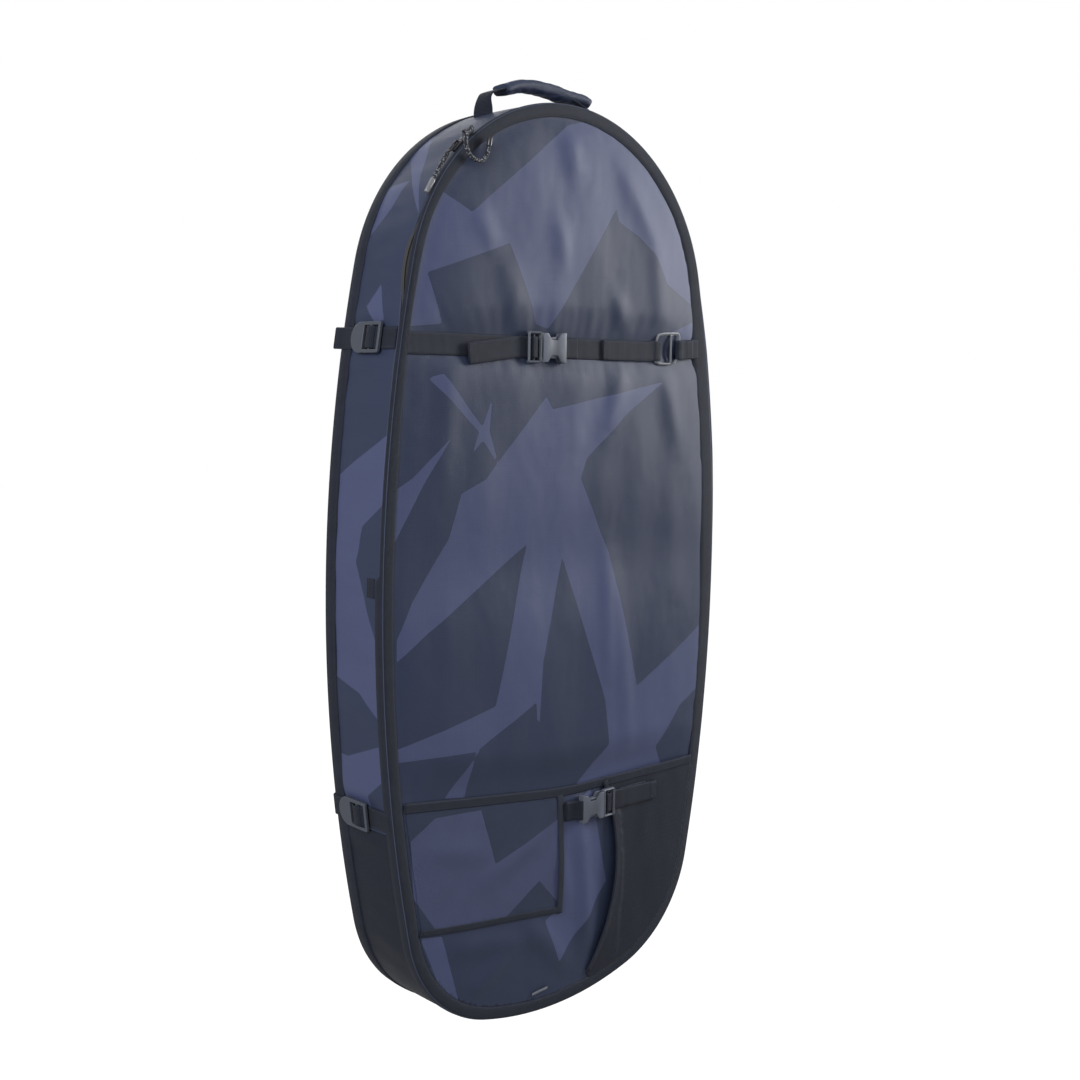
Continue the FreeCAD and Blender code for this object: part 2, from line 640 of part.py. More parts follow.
def make_hook(frame):
    """A flat wire hook: a closed webbing slot and an open mouth beside it."""
    wall = size("hook_wall")
    long = size("hook_length")
    half = size("hook_height") / 2
    slot_half = size("webbing_width") / 2 + size("slot_play")
    split = size("hook_split")
    mouth = half - size("hook_mouth")
    outline = polygon([(0, -half), (long, -half), (long, mouth), (long - wall, mouth),
                       (long - wall, wall - half), (split + wall, wall - half),
                       (split + wall, half - wall), (long, half - wall), (long, half),
                       (0, half)])
    slot = rectangle(wall, split, -slot_half, slot_half)
    body = part_body("g_hook")
    body.Placement = frame
    add_pad(body, "g_hook", "XZ_Plane", outline + slot, "Sheet.arm_play",
            "Sheet.hook_thickness")


def make_flank_straps():
    strips = []
    thick = "Sheet.webbing_thickness"
    width = "Sheet.webbing_width"
    low = -size("webbing_width") / 2
    lift = size("webbing_thickness") + size("flank_layer_gap")
    behind = BACK + size("wrap_gap")
    for level, drop, middle in (("upper", "flank_upper_drop", "lock_middle_upper"),
                                ("lower", "flank_lower_drop", "lock_middle_lower")):
        z = height(size(drop))
        for side, sign in (("left", -1), ("right", 1)):
            frame = flank(z, sign)
            title = "%s_%s" % (level, side)
            start = size("chain_middle") + size("chain_half") + 1
            end = BACK - size("back_binding_side")
            strips.append(box(title + "_base", (thick, "%g" % (end - start), width),
                              (0, start, low), frame))
            tail_end = size("upper_tail_back")
            if level == "lower":
                tail_end = behind + size("webbing_thickness")
            tail_start = size(middle) + size("tail_start_gap")
            strips.append(box(title + "_tail", (thick, "%g" % (tail_end - tail_start), width),
                              (lift, tail_start, low), frame))
            if level == "lower":
                strips.append(box(title + "_wrap", ("Sheet.wrap_length", thick, width),
                                  (lift - size("wrap_length"), behind, low), frame))
            make_lock("ladder_lock_" + title, frame, size(middle))
    group("flank_webbing", strips)


# ---------------------------------------------------------------- handle
def make_handle():
    middle = size("handle_middle")
    inner = size("handle_radius")
    centre_z = -math.sqrt(inner ** 2 - middle ** 2)
    outer = inner + size("handle_web")
    reach = size("handle_reach")
    start = 90 - reach
    end = 90 + reach
    pivot = height(size("handle_pivot_drop"))
    lean = size("leg_lean")
    arch = joined([arc(middle, centre_z, outer, start, end)],
                  [arc(middle, centre_z, inner, start, end)])
    webbing = part_body("handle_webbing")
    add_pad(webbing, "arch", "XZ_Plane", arch, "0", "Sheet.webbing_width", middle=True)
    for side, angle in (("right", start), ("left", end)):
        top = point(middle, centre_z, outer, angle)
        under = point(middle, centre_z, inner, angle)
        inward = -1 if side == "right" else 1
        foot_x = top.x - inward * lean
        foot_z = pivot + size("leg_foot_rise")
        leg = polygon([(top.x, top.y), (under.x, under.y),
                       (foot_x + inward * size("handle_web"), foot_z), (foot_x, foot_z)])
        add_pad(webbing, side + "_leg", "XZ_Plane", leg, "0", "Sheet.webbing_width",
                middle=True)

    # The padded grip is a flattened round section turned about the arch's centre.
    grip = part_body("handle_grip")
    half = size("grip_width") / 2
    tall = size("grip_height")
    round_end = tall / 2
    floor = outer + size("grip_floor")
    section = [line(Vector(floor, round_end - half, 0), Vector(floor, half - round_end, 0)),
               Part.Arc(Vector(floor, half - round_end, 0),
                        Vector(floor + round_end, half, 0),
                        Vector(floor + tall, half - round_end, 0)),
               line(Vector(floor + tall, half - round_end, 0),
                    Vector(floor + tall, round_end - half, 0)),
               Part.Arc(Vector(floor + tall, round_end - half, 0),
                        Vector(floor + round_end, -half, 0),
                        Vector(floor, round_end - half, 0))]
    sketch = grip.newObject("Sketcher::SketchObject", "grip_sketch")
    plane = [f for f in grip.Origin.OriginFeatures if f.Role == "XY_Plane"][0]
    sketch.AttachmentSupport = [(plane, "")]
    sketch.MapMode = "FlatFace"
    sketch.addGeometry(section, False)
    turn = grip.newObject("PartDesign::Revolution", "grip_turn")
    turn.Profile = sketch
    turn.ReferenceAxis = (sketch, ["V_Axis"])
    turn.setExpression("Angle", "2 * Sheet.handle_reach - Sheet.grip_setback")
    turn.Midplane = True
    grip.Placement = Placement(Vector(middle, 0, centre_z), Rotation(Vector(0, 1, 0), -90))

    stubs = []
    for side, angle in (("right", start), ("left", end)):
        top = point(middle, centre_z, outer, angle)
        web = size("handle_web")
        foot_x = top.x + lean
        low_x = foot_x - web
        if side == "left":
            foot_x = top.x - lean
            low_x = foot_x
        cap_rise = math.sqrt(CAP ** 2 - (abs(foot_x) - web) ** 2)
        shell_z = CAP_Z + cap_rise + size("stub_floor")
        stub = box(side + "_stub", ("Sheet.handle_web", "Sheet.webbing_width",
                                    "%g" % (pivot - size("stub_gap") - shell_z)),
                   (low_x, -size("webbing_width") / 2, shell_z))
        stubs.append(stub)
    group("handle_anchors", stubs)


# ---------------------------------------------------------------- pocket
def make_pocket():
    rim = size("front_binding") + size("rim_gap")
    left_z = height(size("hem_left_drop"))
    middle_z = height(size("hem_middle_drop"))
    right_z = height(size("hem_right_drop"))
    trim = size("trim")
    hem = size("hem_width")
    flap_x = size("flap_edge_x")
    flap_low = height(size("flap_end_drop"))
    flap_end = size("flap_end_x")
    bow = flap_x + size("flap_bow")
    bow_z = (middle_z + flap_low) / 2
    pocket_back = front_face + " - Sheet.layer_gap"
    edge_left = half_at(left_z, rim)
    edge_right = half_at(right_z, rim)

    below = under_the_base(left_z, rim)
    base_left = below[:2]
    cut_angle = 270 + math.degrees(math.asin(flap_end / (BASE - rim)))
    base_arc = arc(0, BASE_Z, BASE - rim, 180 - BASE_ANGLE, cut_angle)
    foot = base_arc.EndPoint
    flap_top = Vector(flap_x, middle_z, 0)
    flap = [line(foot, Vector(flap_end, flap_low, 0)),
            Part.Arc(Vector(flap_end, flap_low, 0), Vector(bow, bow_z, 0), flap_top),
            line(flap_top, Vector(0, middle_z, 0)),
            line(Vector(0, middle_z, 0), Vector(-edge_left, left_z, 0))]
    sheet_of("pocket_panel", base_left + [base_arc] + flap, pocket_back, "Sheet.pocket_cloth")

    gap = size("flap_gap")
    right_chain = under_the_base(right_z, rim)
    gap_angle = math.degrees(2 * gap / BASE)
    right_base = arc(0, BASE_Z, BASE - rim, cut_angle + gap_angle, 360 + BASE_ANGLE)
    start = right_base.StartPoint
    black = [right_base, right_chain[3], right_chain[4],
             line(Vector(edge_right, right_z, 0), Vector(flap_x + gap, middle_z, 0)),
             Part.Arc(Vector(flap_x + gap, middle_z, 0), Vector(bow + gap, bow_z, 0),
                      Vector(start.x, flap_low, 0)),
             line(Vector(start.x, flap_low, 0), start)]
    sheet_of("side_panel", black, pocket_back, "Sheet.pocket_cloth")

    upper_cloth = front_face + " - 2 * Sheet.layer_gap - Sheet.pocket_cloth"
    tuck = size("hem_tuck")
    hem_line = [(tuck - edge_left, left_z), (0, middle_z), (edge_right - tuck, right_z)]
    hem_shape = polygon([(x, z + hem / 2) for x, z in hem_line] +
                        [(x, z - hem / 2) for x, z in reversed(hem_line)])
    sheet_of("pocket_hem", hem_shape, upper_cloth, "Sheet.trim_thickness")

    window_z = height(size("window_bottom_drop"))
    window_left_z = height(size("window_left_bottom_drop"))
    mesh_left = half_at(window_left_z, rim)
    top_gap = hem / 2 + size("trim_gap")
    mesh = [(tuck - edge_left, left_z - top_gap), (-trim, middle_z - top_gap),
            (-trim, window_z + trim), (-mesh_left, window_left_z + trim)]
    sheet_of("mesh_window", polygon(mesh), upper_cloth, "Sheet.trim_thickness")
    play = size("window_play")
    frame = [(-trim, middle_z - top_gap), (0, middle_z - top_gap), (0, window_z),
             (tuck - mesh_left, window_left_z), (tuck - mesh_left, window_left_z + trim - 1),
             (-trim + play, window_z + trim - 1)]
    sheet_of("mesh_trim", polygon([(x + play, z) for x, z in frame]), upper_cloth,
             "Sheet.trim_thickness")

    edge = size("flap_trim")
    trim_shape = [Part.Arc(Vector(flap_x + gap, right_z - top_gap, 0),
                           Vector(bow + gap, bow_z, 0), Vector(start.x, flap_low, 0)),
                  line(Vector(start.x, flap_low, 0), Vector(start.x + edge, flap_low, 0)),
                  Part.Arc(Vector(start.x + edge, flap_low, 0),
                           Vector(bow + gap + edge, bow_z, 0),
                           Vector(flap_x + gap + edge, right_z - top_gap, 0)),
                  line(Vector(flap_x + gap + edge, right_z - top_gap, 0),
                       Vector(flap_x + gap, right_z - top_gap, 0))]
    sheet_of("side_panel_trim", trim_shape, upper_cloth, "Sheet.trim_thickness")

    tag_z = height(size("tag_drop"))
    tag = rectangle(size("tag_x"), size("tag_x") + size("tag_width"), tag_z,
                    tag_z + size("tag_height"))
    sheet_of("sewn_tag", tag, front_face + " - Sheet.binding_thickness - Sheet.layer_gap",
             "Sheet.seam_gap")


# ---------------------------------------------------------------- harness
def make_harness():
    half = size("lumbar_half")
    top = height(size("lumbar_top_drop"))
    low = top - size("lumbar_height")
    soft = size("lumbar_corner")
    outline = [line(Vector(-half + soft, low, 0), Vector(half - soft, low, 0)),
               arc(half - soft, low + soft, soft, 270, 360),
               line(Vector(half, low + soft, 0), Vector(half, top, 0)),
               line(Vector(half, top, 0), Vector(-half, top, 0)),
               line(Vector(-half, top, 0), Vector(-half, low + soft, 0)),
               arc(-half + soft, low + soft, soft, 180, 270)]
    back = back_face + " + Sheet.binding_thickness + Sheet.trim_gap + Sheet.lumbar_thickness"
    sheet_of("lumbar_pad", outline, back, "Sheet.lumbar_thickness")

    wide = size("strap_pad_width") / 2
    high = height(size("strap_top_drop"))
    foot = height(size("strap_bottom_drop"))
    x_top = size("strap_top_x")
    x_low = size("strap_bottom_x")
    bulge = x_low + size("strap_bow")
    taper = size("strap_taper")
    gap = size("web_gap")
    mid = (high + foot) / 2
    webs = []
    for side, sign in (("left", -1), ("right", 1)):
        inner = Part.Arc(Vector(sign * (x_top - wide), high, 0),
                         Vector(sign * (bulge - wide), mid, 0),
                         Vector(sign * (x_low - wide + taper), foot, 0))
        outer = Part.Arc(Vector(sign * (x_top + wide), high, 0),
                         Vector(sign * (bulge + wide), mid, 0),
                         Vector(sign * (x_low + wide - taper), foot, 0))
        shape = joined([outer], [inner])
        sheet_of("shoulder_strap_" + side, shape,
                 back_face + " + Sheet.skin + Sheet.strap_pad_thickness",
                 "Sheet.strap_pad_thickness")
        lock_z = foot - size("lock_length") / 2 - size("adjuster_gap")
        frame = Placement(Vector(sign * x_low, BACK, lock_z),
                          Rotation(Vector(0, 0, 1), 90).multiply(
                              Rotation(Vector(1, 0, 0), -90)))
        make_lock("strap_adjuster_" + side, frame, 0)
        webs.append(box(side + "_web", ("Sheet.webbing_width", "Sheet.webbing_thickness",
                                        "%g" % (foot - top - 2 * gap)),
                        (sign * x_low - size("webbing_width") / 2, BACK + gap, top + gap)))
    group("shoulder_webbing", webs)


make_shell()
make_bindings()
make_zip()
make_pulls()
make_front_straps()
make_flank_straps()
make_handle()
make_pocket()
make_harness()
doc.recompute()

for item in doc.Objects:
    if "Invalid" in item.State or "Error" in item.State:
        raise RuntimeError("%s failed: %s" % (item.Name, item.State))
for name, item in nodes.items():
    if item.Shape.isNull() or not item.Shape.isValid() or not item.Shape.Solids:
        raise RuntimeError("%s has no valid solid" % name)

os.makedirs("parts", exist_ok=True)
for name, item in nodes.items():
    item.Shape.exportStep("parts/%s.step" % name)
print(len(nodes), "nodes")
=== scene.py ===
import json
import math

import bmesh
import bpy
import numpy as np
from mathutils import Matrix, Vector, geometry, noise
from mathutils.bvhtree import BVHTree

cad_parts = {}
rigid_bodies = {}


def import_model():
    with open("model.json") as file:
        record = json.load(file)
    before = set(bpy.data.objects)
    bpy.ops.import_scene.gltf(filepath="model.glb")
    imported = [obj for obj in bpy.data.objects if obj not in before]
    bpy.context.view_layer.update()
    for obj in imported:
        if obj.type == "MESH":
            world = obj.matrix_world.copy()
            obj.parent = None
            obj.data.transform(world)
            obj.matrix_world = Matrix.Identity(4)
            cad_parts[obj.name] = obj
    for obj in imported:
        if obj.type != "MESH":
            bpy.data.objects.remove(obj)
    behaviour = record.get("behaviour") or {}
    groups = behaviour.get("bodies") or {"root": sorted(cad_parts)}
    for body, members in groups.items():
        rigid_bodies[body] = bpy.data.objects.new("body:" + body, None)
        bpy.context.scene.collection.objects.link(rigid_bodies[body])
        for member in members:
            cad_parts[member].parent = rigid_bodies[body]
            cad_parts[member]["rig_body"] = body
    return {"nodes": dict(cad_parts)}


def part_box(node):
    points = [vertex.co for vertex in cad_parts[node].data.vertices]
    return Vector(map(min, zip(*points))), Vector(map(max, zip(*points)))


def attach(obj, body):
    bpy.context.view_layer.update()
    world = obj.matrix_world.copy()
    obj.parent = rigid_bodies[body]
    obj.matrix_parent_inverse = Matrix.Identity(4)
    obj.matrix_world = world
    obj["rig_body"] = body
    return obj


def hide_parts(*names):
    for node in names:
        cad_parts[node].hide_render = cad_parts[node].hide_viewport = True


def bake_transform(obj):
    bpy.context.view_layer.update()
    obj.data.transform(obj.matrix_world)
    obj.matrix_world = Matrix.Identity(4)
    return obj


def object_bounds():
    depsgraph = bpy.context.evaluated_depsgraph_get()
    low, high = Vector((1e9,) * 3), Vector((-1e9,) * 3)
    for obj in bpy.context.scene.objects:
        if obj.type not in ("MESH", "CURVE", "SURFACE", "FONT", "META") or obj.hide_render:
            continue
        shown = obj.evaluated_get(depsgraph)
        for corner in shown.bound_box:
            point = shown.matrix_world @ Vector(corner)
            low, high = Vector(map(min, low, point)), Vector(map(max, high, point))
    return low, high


# The looks of a soft padded board bag that hangs by its grab handle. Metres; X to the right,
# Y to the back, Z up. Lengths are written in millimetres times MM.

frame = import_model()
CAD_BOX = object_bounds()
scene = bpy.context.scene
scene.view_settings.view_transform = "Standard"
MM = 0.001
ROOM_LIGHT = 0.34


# ---------------------------------------------------------------- camera and light
def camera():
    """The view: from the left of the front, a little above the middle."""
    place = Vector((-1155, -1239, -345)) * MM
    turn = math.radians(43)
    tilt = math.radians(6.59)
    roll = math.radians(0.8)
    ahead = Vector((math.sin(turn) * math.cos(tilt), math.cos(turn) * math.cos(tilt), -math.sin(tilt)))
    right = Vector((math.cos(turn), -math.sin(turn), 0))
    above = right.cross(ahead)
    right, above = (right * math.cos(roll) + above * math.sin(roll),
                    above * math.cos(roll) - right * math.sin(roll))
    data = bpy.data.cameras.new("camera")
    data.lens = 45.03
    data.sensor_width = 36
    data.shift_x = 0.0036
    obj = bpy.data.objects.new("camera", data)
    obj.matrix_world = Matrix.Translation(place) @ Matrix((right, above, -ahead)).transposed().to_4x4()
    scene.collection.objects.link(obj)
    scene.camera = obj


def area_light(name, place, aim, size, watts):
    data = bpy.data.lights.new(name, "AREA")
    data.shape = "RECTANGLE"
    data.size, data.size_y = size
    data.energy = watts
    obj = bpy.data.objects.new(name, data)
    obj.location = place
    obj.rotation_euler = (Vector(aim) - Vector(place)).to_track_quat("-Z", "Y").to_euler()
    scene.collection.objects.link(obj)


def studio():
    """A pale floor below the hanging bag, a white room and four soft lights."""
    world = bpy.data.worlds.new("room")
    world.use_nodes = True
    world.node_tree.nodes["Background"].inputs["Color"].default_value = (1, 1, 1, 1)
    seen = world.node_tree.nodes.new("ShaderNodeLightPath").outputs["Is Camera Ray"]
    put(world.node_tree, calc(world.node_tree, "MULTIPLY_ADD", seen, 1 - ROOM_LIGHT, ROOM_LIGHT),
        world.node_tree.nodes["Background"].inputs["Strength"])
    scene.world = world
    middle = (0, 0, -0.55)
    area_light("key", (-2.6, -0.7, 0.6), (0, 0, -0.35), (0.9, 1.6), 46)
    area_light("top", (0.4, -1.2, 2.2), middle, (1.6, 0.8), 10)
    area_light("rake", (2.2, -1.0, 0.2), middle, (0.6, 1.4), 44)
    area_light("rear", (1.0, 2.8, 0.8), middle, (2.4, 2.4), 34)
    bpy.ops.mesh.primitive_circle_add(vertices=64, radius=12, fill_type="NGON",
                                      location=(0, 0, CAD_BOX[0][2] - 0.25))
    floor = bpy.context.object
    floor.name = "floor"
    _, shader = new_material("floor_paint")
    shader.inputs["Base Color"].default_value = (0.1, 0.1, 0.1, 1)
    shader.inputs["Emission Color"].default_value = (1, 1, 1, 1)
    shader.inputs["Emission Strength"].default_value = 0.97
    shader.inputs["Roughness"].default_value = 0.9
    floor.data.materials.append(bpy.data.materials["floor_paint"])
    floor.visible_diffuse = False
    floor.visible_glossy = False


# ---------------------------------------------------------------- material helpers
def new_material(name):
    material = bpy.data.materials.new(name)
    material.use_nodes = True
    return material.node_tree, material.node_tree.nodes["Principled BSDF"]


def put(tree, value, socket):
    """A link from a socket, or a plain value."""
    if isinstance(value, bpy.types.NodeSocket):
        tree.links.new(value, socket)
    else:
        socket.default_value = value


def calc(tree, operation, *values, clamp=False):
    node = tree.nodes.new("ShaderNodeMath")
    node.operation = operation
    node.use_clamp = clamp
    for value, socket in zip(values, node.inputs):
        put(tree, value, socket)
    return node.outputs[0]


def mix(tree, factor, first, second):
    """A blend of two colours."""
    node = tree.nodes.new("ShaderNodeMix")
    node.data_type = "RGBA"
    put(tree, factor, node.inputs["Factor"])
    put(tree, first, node.inputs["A"])
    put(tree, second, node.inputs["B"])
    return node.outputs["Result"]


def attribute(tree, name):
    node = tree.nodes.new("ShaderNodeAttribute")
    node.attribute_name = name
    return node


def weave_axes(tree):
    """The along, across and spare coordinates that each piece keeps for its cloth."""
    split = tree.nodes.new("ShaderNodeSeparateXYZ")
    tree.links.new(attribute(tree, "weave").outputs["Vector"], split.inputs[0])
    return split.outputs


def noise_at(tree, vector, scale, detail=2.0, roughness=0.5):
    node = tree.nodes.new("ShaderNodeTexNoise")
    put(tree, vector, node.inputs["Vector"])
    node.inputs["Scale"].default_value = scale
    node.inputs["Detail"].default_value = detail
    node.inputs["Roughness"].default_value = roughness
    return node.outputs["Fac"]


def stretched(tree, vector, scale):
    node = tree.nodes.new("ShaderNodeVectorMath")
    node.operation = "MULTIPLY"
    put(tree, vector, node.inputs[0])
    node.inputs[1].default_value = scale
    return node.outputs[0]


def wave(tree, value, period, phase=0.0):
    """A sine of a coordinate, from -1 to 1."""
    turned = calc(tree, "MULTIPLY_ADD", value, 2 * math.pi / period, phase)
    return calc(tree, "SINE", turned)


def bump(tree, shader, height, distance, strength=1.0):
    node = tree.nodes.new("ShaderNodeBump")
    node.inputs["Distance"].default_value = distance
    node.inputs["Strength"].default_value = strength
    put(tree, height, node.inputs["Height"])
    tree.links.new(node.outputs["Normal"], shader.inputs["Normal"])


def shaded(tree, colour, variation, low, high):
    """A colour made lighter and darker by a value from 0 to 1."""
    gain = calc(tree, "MULTIPLY_ADD", variation, high - low, low)
    node = tree.nodes.new("ShaderNodeVectorMath")
    node.operation = "SCALE"
    put(tree, colour, node.inputs[0])
    put(tree, gain, node.inputs["Scale"])
    return node.outputs[0]


def colour_value(tree, colour):
    node = tree.nodes.new("ShaderNodeRGB")
    node.outputs[0].default_value = (*colour, 1)
    return node.outputs[0]


# ---------------------------------------------------------------- materials
LIGHT_PRINT = (0.073, 0.089, 0.184)
DARK_PRINT = (0.033, 0.045, 0.091)
BLACK_CLOTH = (0.0115, 0.0155, 0.0300)
WEBBING = (0.0165, 0.0210, 0.0360)
BINDING = (0.0170, 0.0215, 0.0370)
LINING = (0.045, 0.047, 0.052)


def woven(name, colour, second=None, thread=0.9, roughness=0.5, streak=0.1, ripstop=None, depth=0.10):
    """A woven cloth: fine threads both ways, streaks along them, and a print if it has one."""
    tree, shader = new_material(name)
    axes = weave_axes(tree)
    along, across = axes[0], axes[1]
    warp = wave(tree, along, thread * MM)
    weft = wave(tree, across, thread * MM)
    weave = calc(tree, "MULTIPLY", warp, weft)
    vector = attribute(tree, "weave").outputs["Vector"]
    lengthwise = noise_at(tree, stretched(tree, vector, (900, 14, 0)), 1.0, 3.0)
    crosswise = noise_at(tree, stretched(tree, vector, (14, 900, 0)), 1.0, 3.0)
    cloudy = noise_at(tree, vector, 9.0, 4.0)
    streaks = calc(tree, "ADD", lengthwise, crosswise)
    variation = calc(tree, "MULTIPLY", calc(tree, "ADD", streaks, cloudy), 1 / 3)
    base = colour_value(tree, colour)
    if second:
        edge = calc(tree, "GREATER_THAN", attribute(tree, "print").outputs["Fac"], 0.0)
        base = mix(tree, edge, base, colour_value(tree, second))
    tree.links.new(shaded(tree, base, variation, 1 - 2.2 * streak, 1 + 2.2 * streak),
                   shader.inputs["Base Color"])
    height = calc(tree, "MULTIPLY_ADD", weave, 0.35, streaks)
    if ripstop:
        lines = calc(tree, "MAXIMUM", wave(tree, along, ripstop * MM), wave(tree, across, ripstop * MM))
        ridge = calc(tree, "GREATER_THAN", lines, 0.94)
        height = calc(tree, "MULTIPLY_ADD", ridge, 0.7, height)
    bump(tree, shader, height, depth * MM)
    rough = calc(tree, "MULTIPLY_ADD", cloudy, 0.16, roughness - 0.08)
    tree.links.new(rough, shader.inputs["Roughness"])
    shader.inputs["Sheen Weight"].default_value = 0.03
    shader.inputs["Sheen Roughness"].default_value = 0.4
    shader.inputs["Specular IOR Level"].default_value = 0.3
    return bpy.data.materials[name]


def stitch_mask(tree, along, across, rows, period=3.4, thread=0.55):
    """Dashes of thread along rows at set distances across a tape."""
    dash = calc(tree, "GREATER_THAN", wave(tree, along, period * MM), -0.35)
    mask = None
    for row in rows:
        near = calc(tree, "ABSOLUTE", calc(tree, "SUBTRACT", across, row * MM))
        line = calc(tree, "LESS_THAN", near, thread * MM)
        mask = line if mask is None else calc(tree, "MAXIMUM", mask, line)
    return calc(tree, "MULTIPLY", mask, dash)


def tape(name, colour, rib=1.5, rows=(), edge=None, depth=0.22, piping=None):
    """Woven tape or webbing: ribs across its length, painted lighter on their crests and darker in their
    grooves as painted shade, stitch rows along it, and outer edges painted paler as a painted highlight.
    """
    tree, shader = new_material(name)
    axes = weave_axes(tree)
    along, across = axes[0], axes[1]
    ribs = wave(tree, along, rib * MM)
    fine = wave(tree, across, 0.8 * MM)
    height = calc(tree, "MULTIPLY_ADD", fine, 0.3, ribs)
    vector = attribute(tree, "weave").outputs["Vector"]
    cloudy = noise_at(tree, vector, 60.0, 3.0)
    # Painted shade: rib crests a little lighter and grooves darker, on top of a random cloudy tone.
    rib_shade_and_tone = calc(tree, "MULTIPLY_ADD", ribs, 0.12, cloudy)
    base = shaded(tree, colour_value(tree, colour), rib_shade_and_tone, 0.72, 1.28)
    if rows:
        stitches = stitch_mask(tree, along, across, rows)
        paler = tuple(2.1 * value for value in colour)
        base = mix(tree, stitches, base, colour_value(tree, paler))
        height = calc(tree, "MULTIPLY_ADD", stitches, 2.2, height)
    if piping is not None:
        near = calc(tree, "ABSOLUTE", calc(tree, "SUBTRACT", across, piping * MM))
        paler = tuple(4 * value for value in colour)
        base = mix(tree, calc(tree, "LESS_THAN", near, 0.55 * MM), base, colour_value(tree, paler))
    # Painted highlight: past this distance across, the outer edges are painted paler.
    if edge:
        outer = calc(tree, "GREATER_THAN", calc(tree, "ABSOLUTE", across), edge * MM)
        paler = tuple(1.5 * value for value in colour)
        base = mix(tree, calc(tree, "MULTIPLY", outer, 0.6), base, colour_value(tree, paler))
    tree.links.new(base, shader.inputs["Base Color"])
    bump(tree, shader, height, depth * MM)
    shader.inputs["Roughness"].default_value = 0.62
    shader.inputs["Sheen Weight"].default_value = 0.03
    shader.inputs["Specular IOR Level"].default_value = 0.25
    return bpy.data.materials[name]


def moulded(name, colour, roughness, metallic=0.0, specular=0.5):
    """Plastic or painted metal: a fine moulded grain, convex edges painted paler as a painted highlight, and
    faint scuffs.
    """
    tree, shader = new_material(name)
    vector = attribute(tree, "weave").outputs["Vector"]
    grainy = noise_at(tree, vector, 1400.0, 2.0)
    scuffs = noise_at(tree, stretched(tree, vector, (90, 500, 90)), 1.0, 4.0)
    geometry_node = tree.nodes.new("ShaderNodeNewGeometry")
    # Painted highlight: edges that stand out, found by pointiness, are painted paler.
    edge_highlight = calc(tree, "MULTIPLY_ADD", geometry_node.outputs["Pointiness"], 9.0, -4.55, clamp=True)
    base = shaded(tree, colour_value(tree, colour), scuffs, 0.85, 1.15)
    paler = tuple(min(1.0, 1.9 * value) for value in colour)
    tree.links.new(mix(tree, calc(tree, "MULTIPLY", edge_highlight, 0.7), base, colour_value(tree, paler)),
                   shader.inputs["Base Color"])
    tree.links.new(calc(tree, "MULTIPLY_ADD", scuffs, 0.2, roughness - 0.1), shader.inputs["Roughness"])
    bump(tree, shader, calc(tree, "MULTIPLY_ADD", scuffs, 0.4, grainy), 0.04 * MM)
    shader.inputs["Metallic"].default_value = metallic
    shader.inputs["Specular IOR Level"].default_value = specular
    return bpy.data.materials[name]


def braided(name, colour, fleck_and_glint_colour):
    """A braided cord: crossing strands, painted lighter on their crests and darker between them as painted
    shade, with small pale flecks on the crests that are partly flecked yarn and partly painted glints.
    """
    tree, shader = new_material(name)
    axes = weave_axes(tree)
    along, around = axes[0], axes[1]
    left = wave(tree, calc(tree, "ADD", along, around), 1.9 * MM)
    right = wave(tree, calc(tree, "SUBTRACT", along, around), 1.9 * MM)
    strands = calc(tree, "MAXIMUM", left, right)
    specks = noise_at(tree, stretched(tree, attribute(tree, "weave").outputs["Vector"], (520, 380, 0)),
                      1.0, 0.0)
    # Pale flecks on the strands' crests: partly flecked yarn, partly painted glints.
    flecks_and_glints = calc(tree, "MULTIPLY", calc(tree, "GREATER_THAN", specks, 0.60),
                  calc(tree, "GREATER_THAN", strands, 0.1))
    # Painted shade: the colour is lighter on the strands' crests and darker in the grooves between them.
    base = shaded(tree, colour_value(tree, colour), calc(tree, "MULTIPLY_ADD", strands, 0.5, 0.5), 0.6, 1.3)
    tree.links.new(mix(tree, flecks_and_glints, base, colour_value(tree, fleck_and_glint_colour)), shader.inputs["Base Color"])
    bump(tree, shader, strands, 0.35 * MM)
    shader.inputs["Roughness"].default_value = 0.55
    return bpy.data.materials[name]


def open_mesh(name, colour, second):
    """A fine net over the printed cloth: paler threads round small holes, which are painted dark as painted
    shade.
    """
    tree, shader = new_material(name)
    axes = weave_axes(tree)
    holes = calc(tree, "MULTIPLY", wave(tree, axes[0], 1.7 * MM), wave(tree, axes[1], 1.7 * MM))
    # Painted shade: the holes between the threads are darkened towards near black.
    dark = calc(tree, "GREATER_THAN", holes, 0.3)
    edge = calc(tree, "GREATER_THAN", attribute(tree, "print").outputs["Fac"], 0.0)
    base = mix(tree, edge, colour_value(tree, colour), colour_value(tree, second))
    cloudy = noise_at(tree, attribute(tree, "weave").outputs["Vector"], 30.0, 3.0)
    base = shaded(tree, base, cloudy, 0.9, 1.1)
    base = mix(tree, calc(tree, "MULTIPLY", dark, 0.16), base, colour_value(tree, (0.015, 0.018, 0.030)))
    tree.links.new(base, shader.inputs["Base Color"])
    bump(tree, shader, calc(tree, "MULTIPLY", holes, -1.0), 0.3 * MM)
    shader.inputs["Roughness"].default_value = 0.6
    shader.inputs["Specular IOR Level"].default_value = 0.25
    return bpy.data.materials[name]


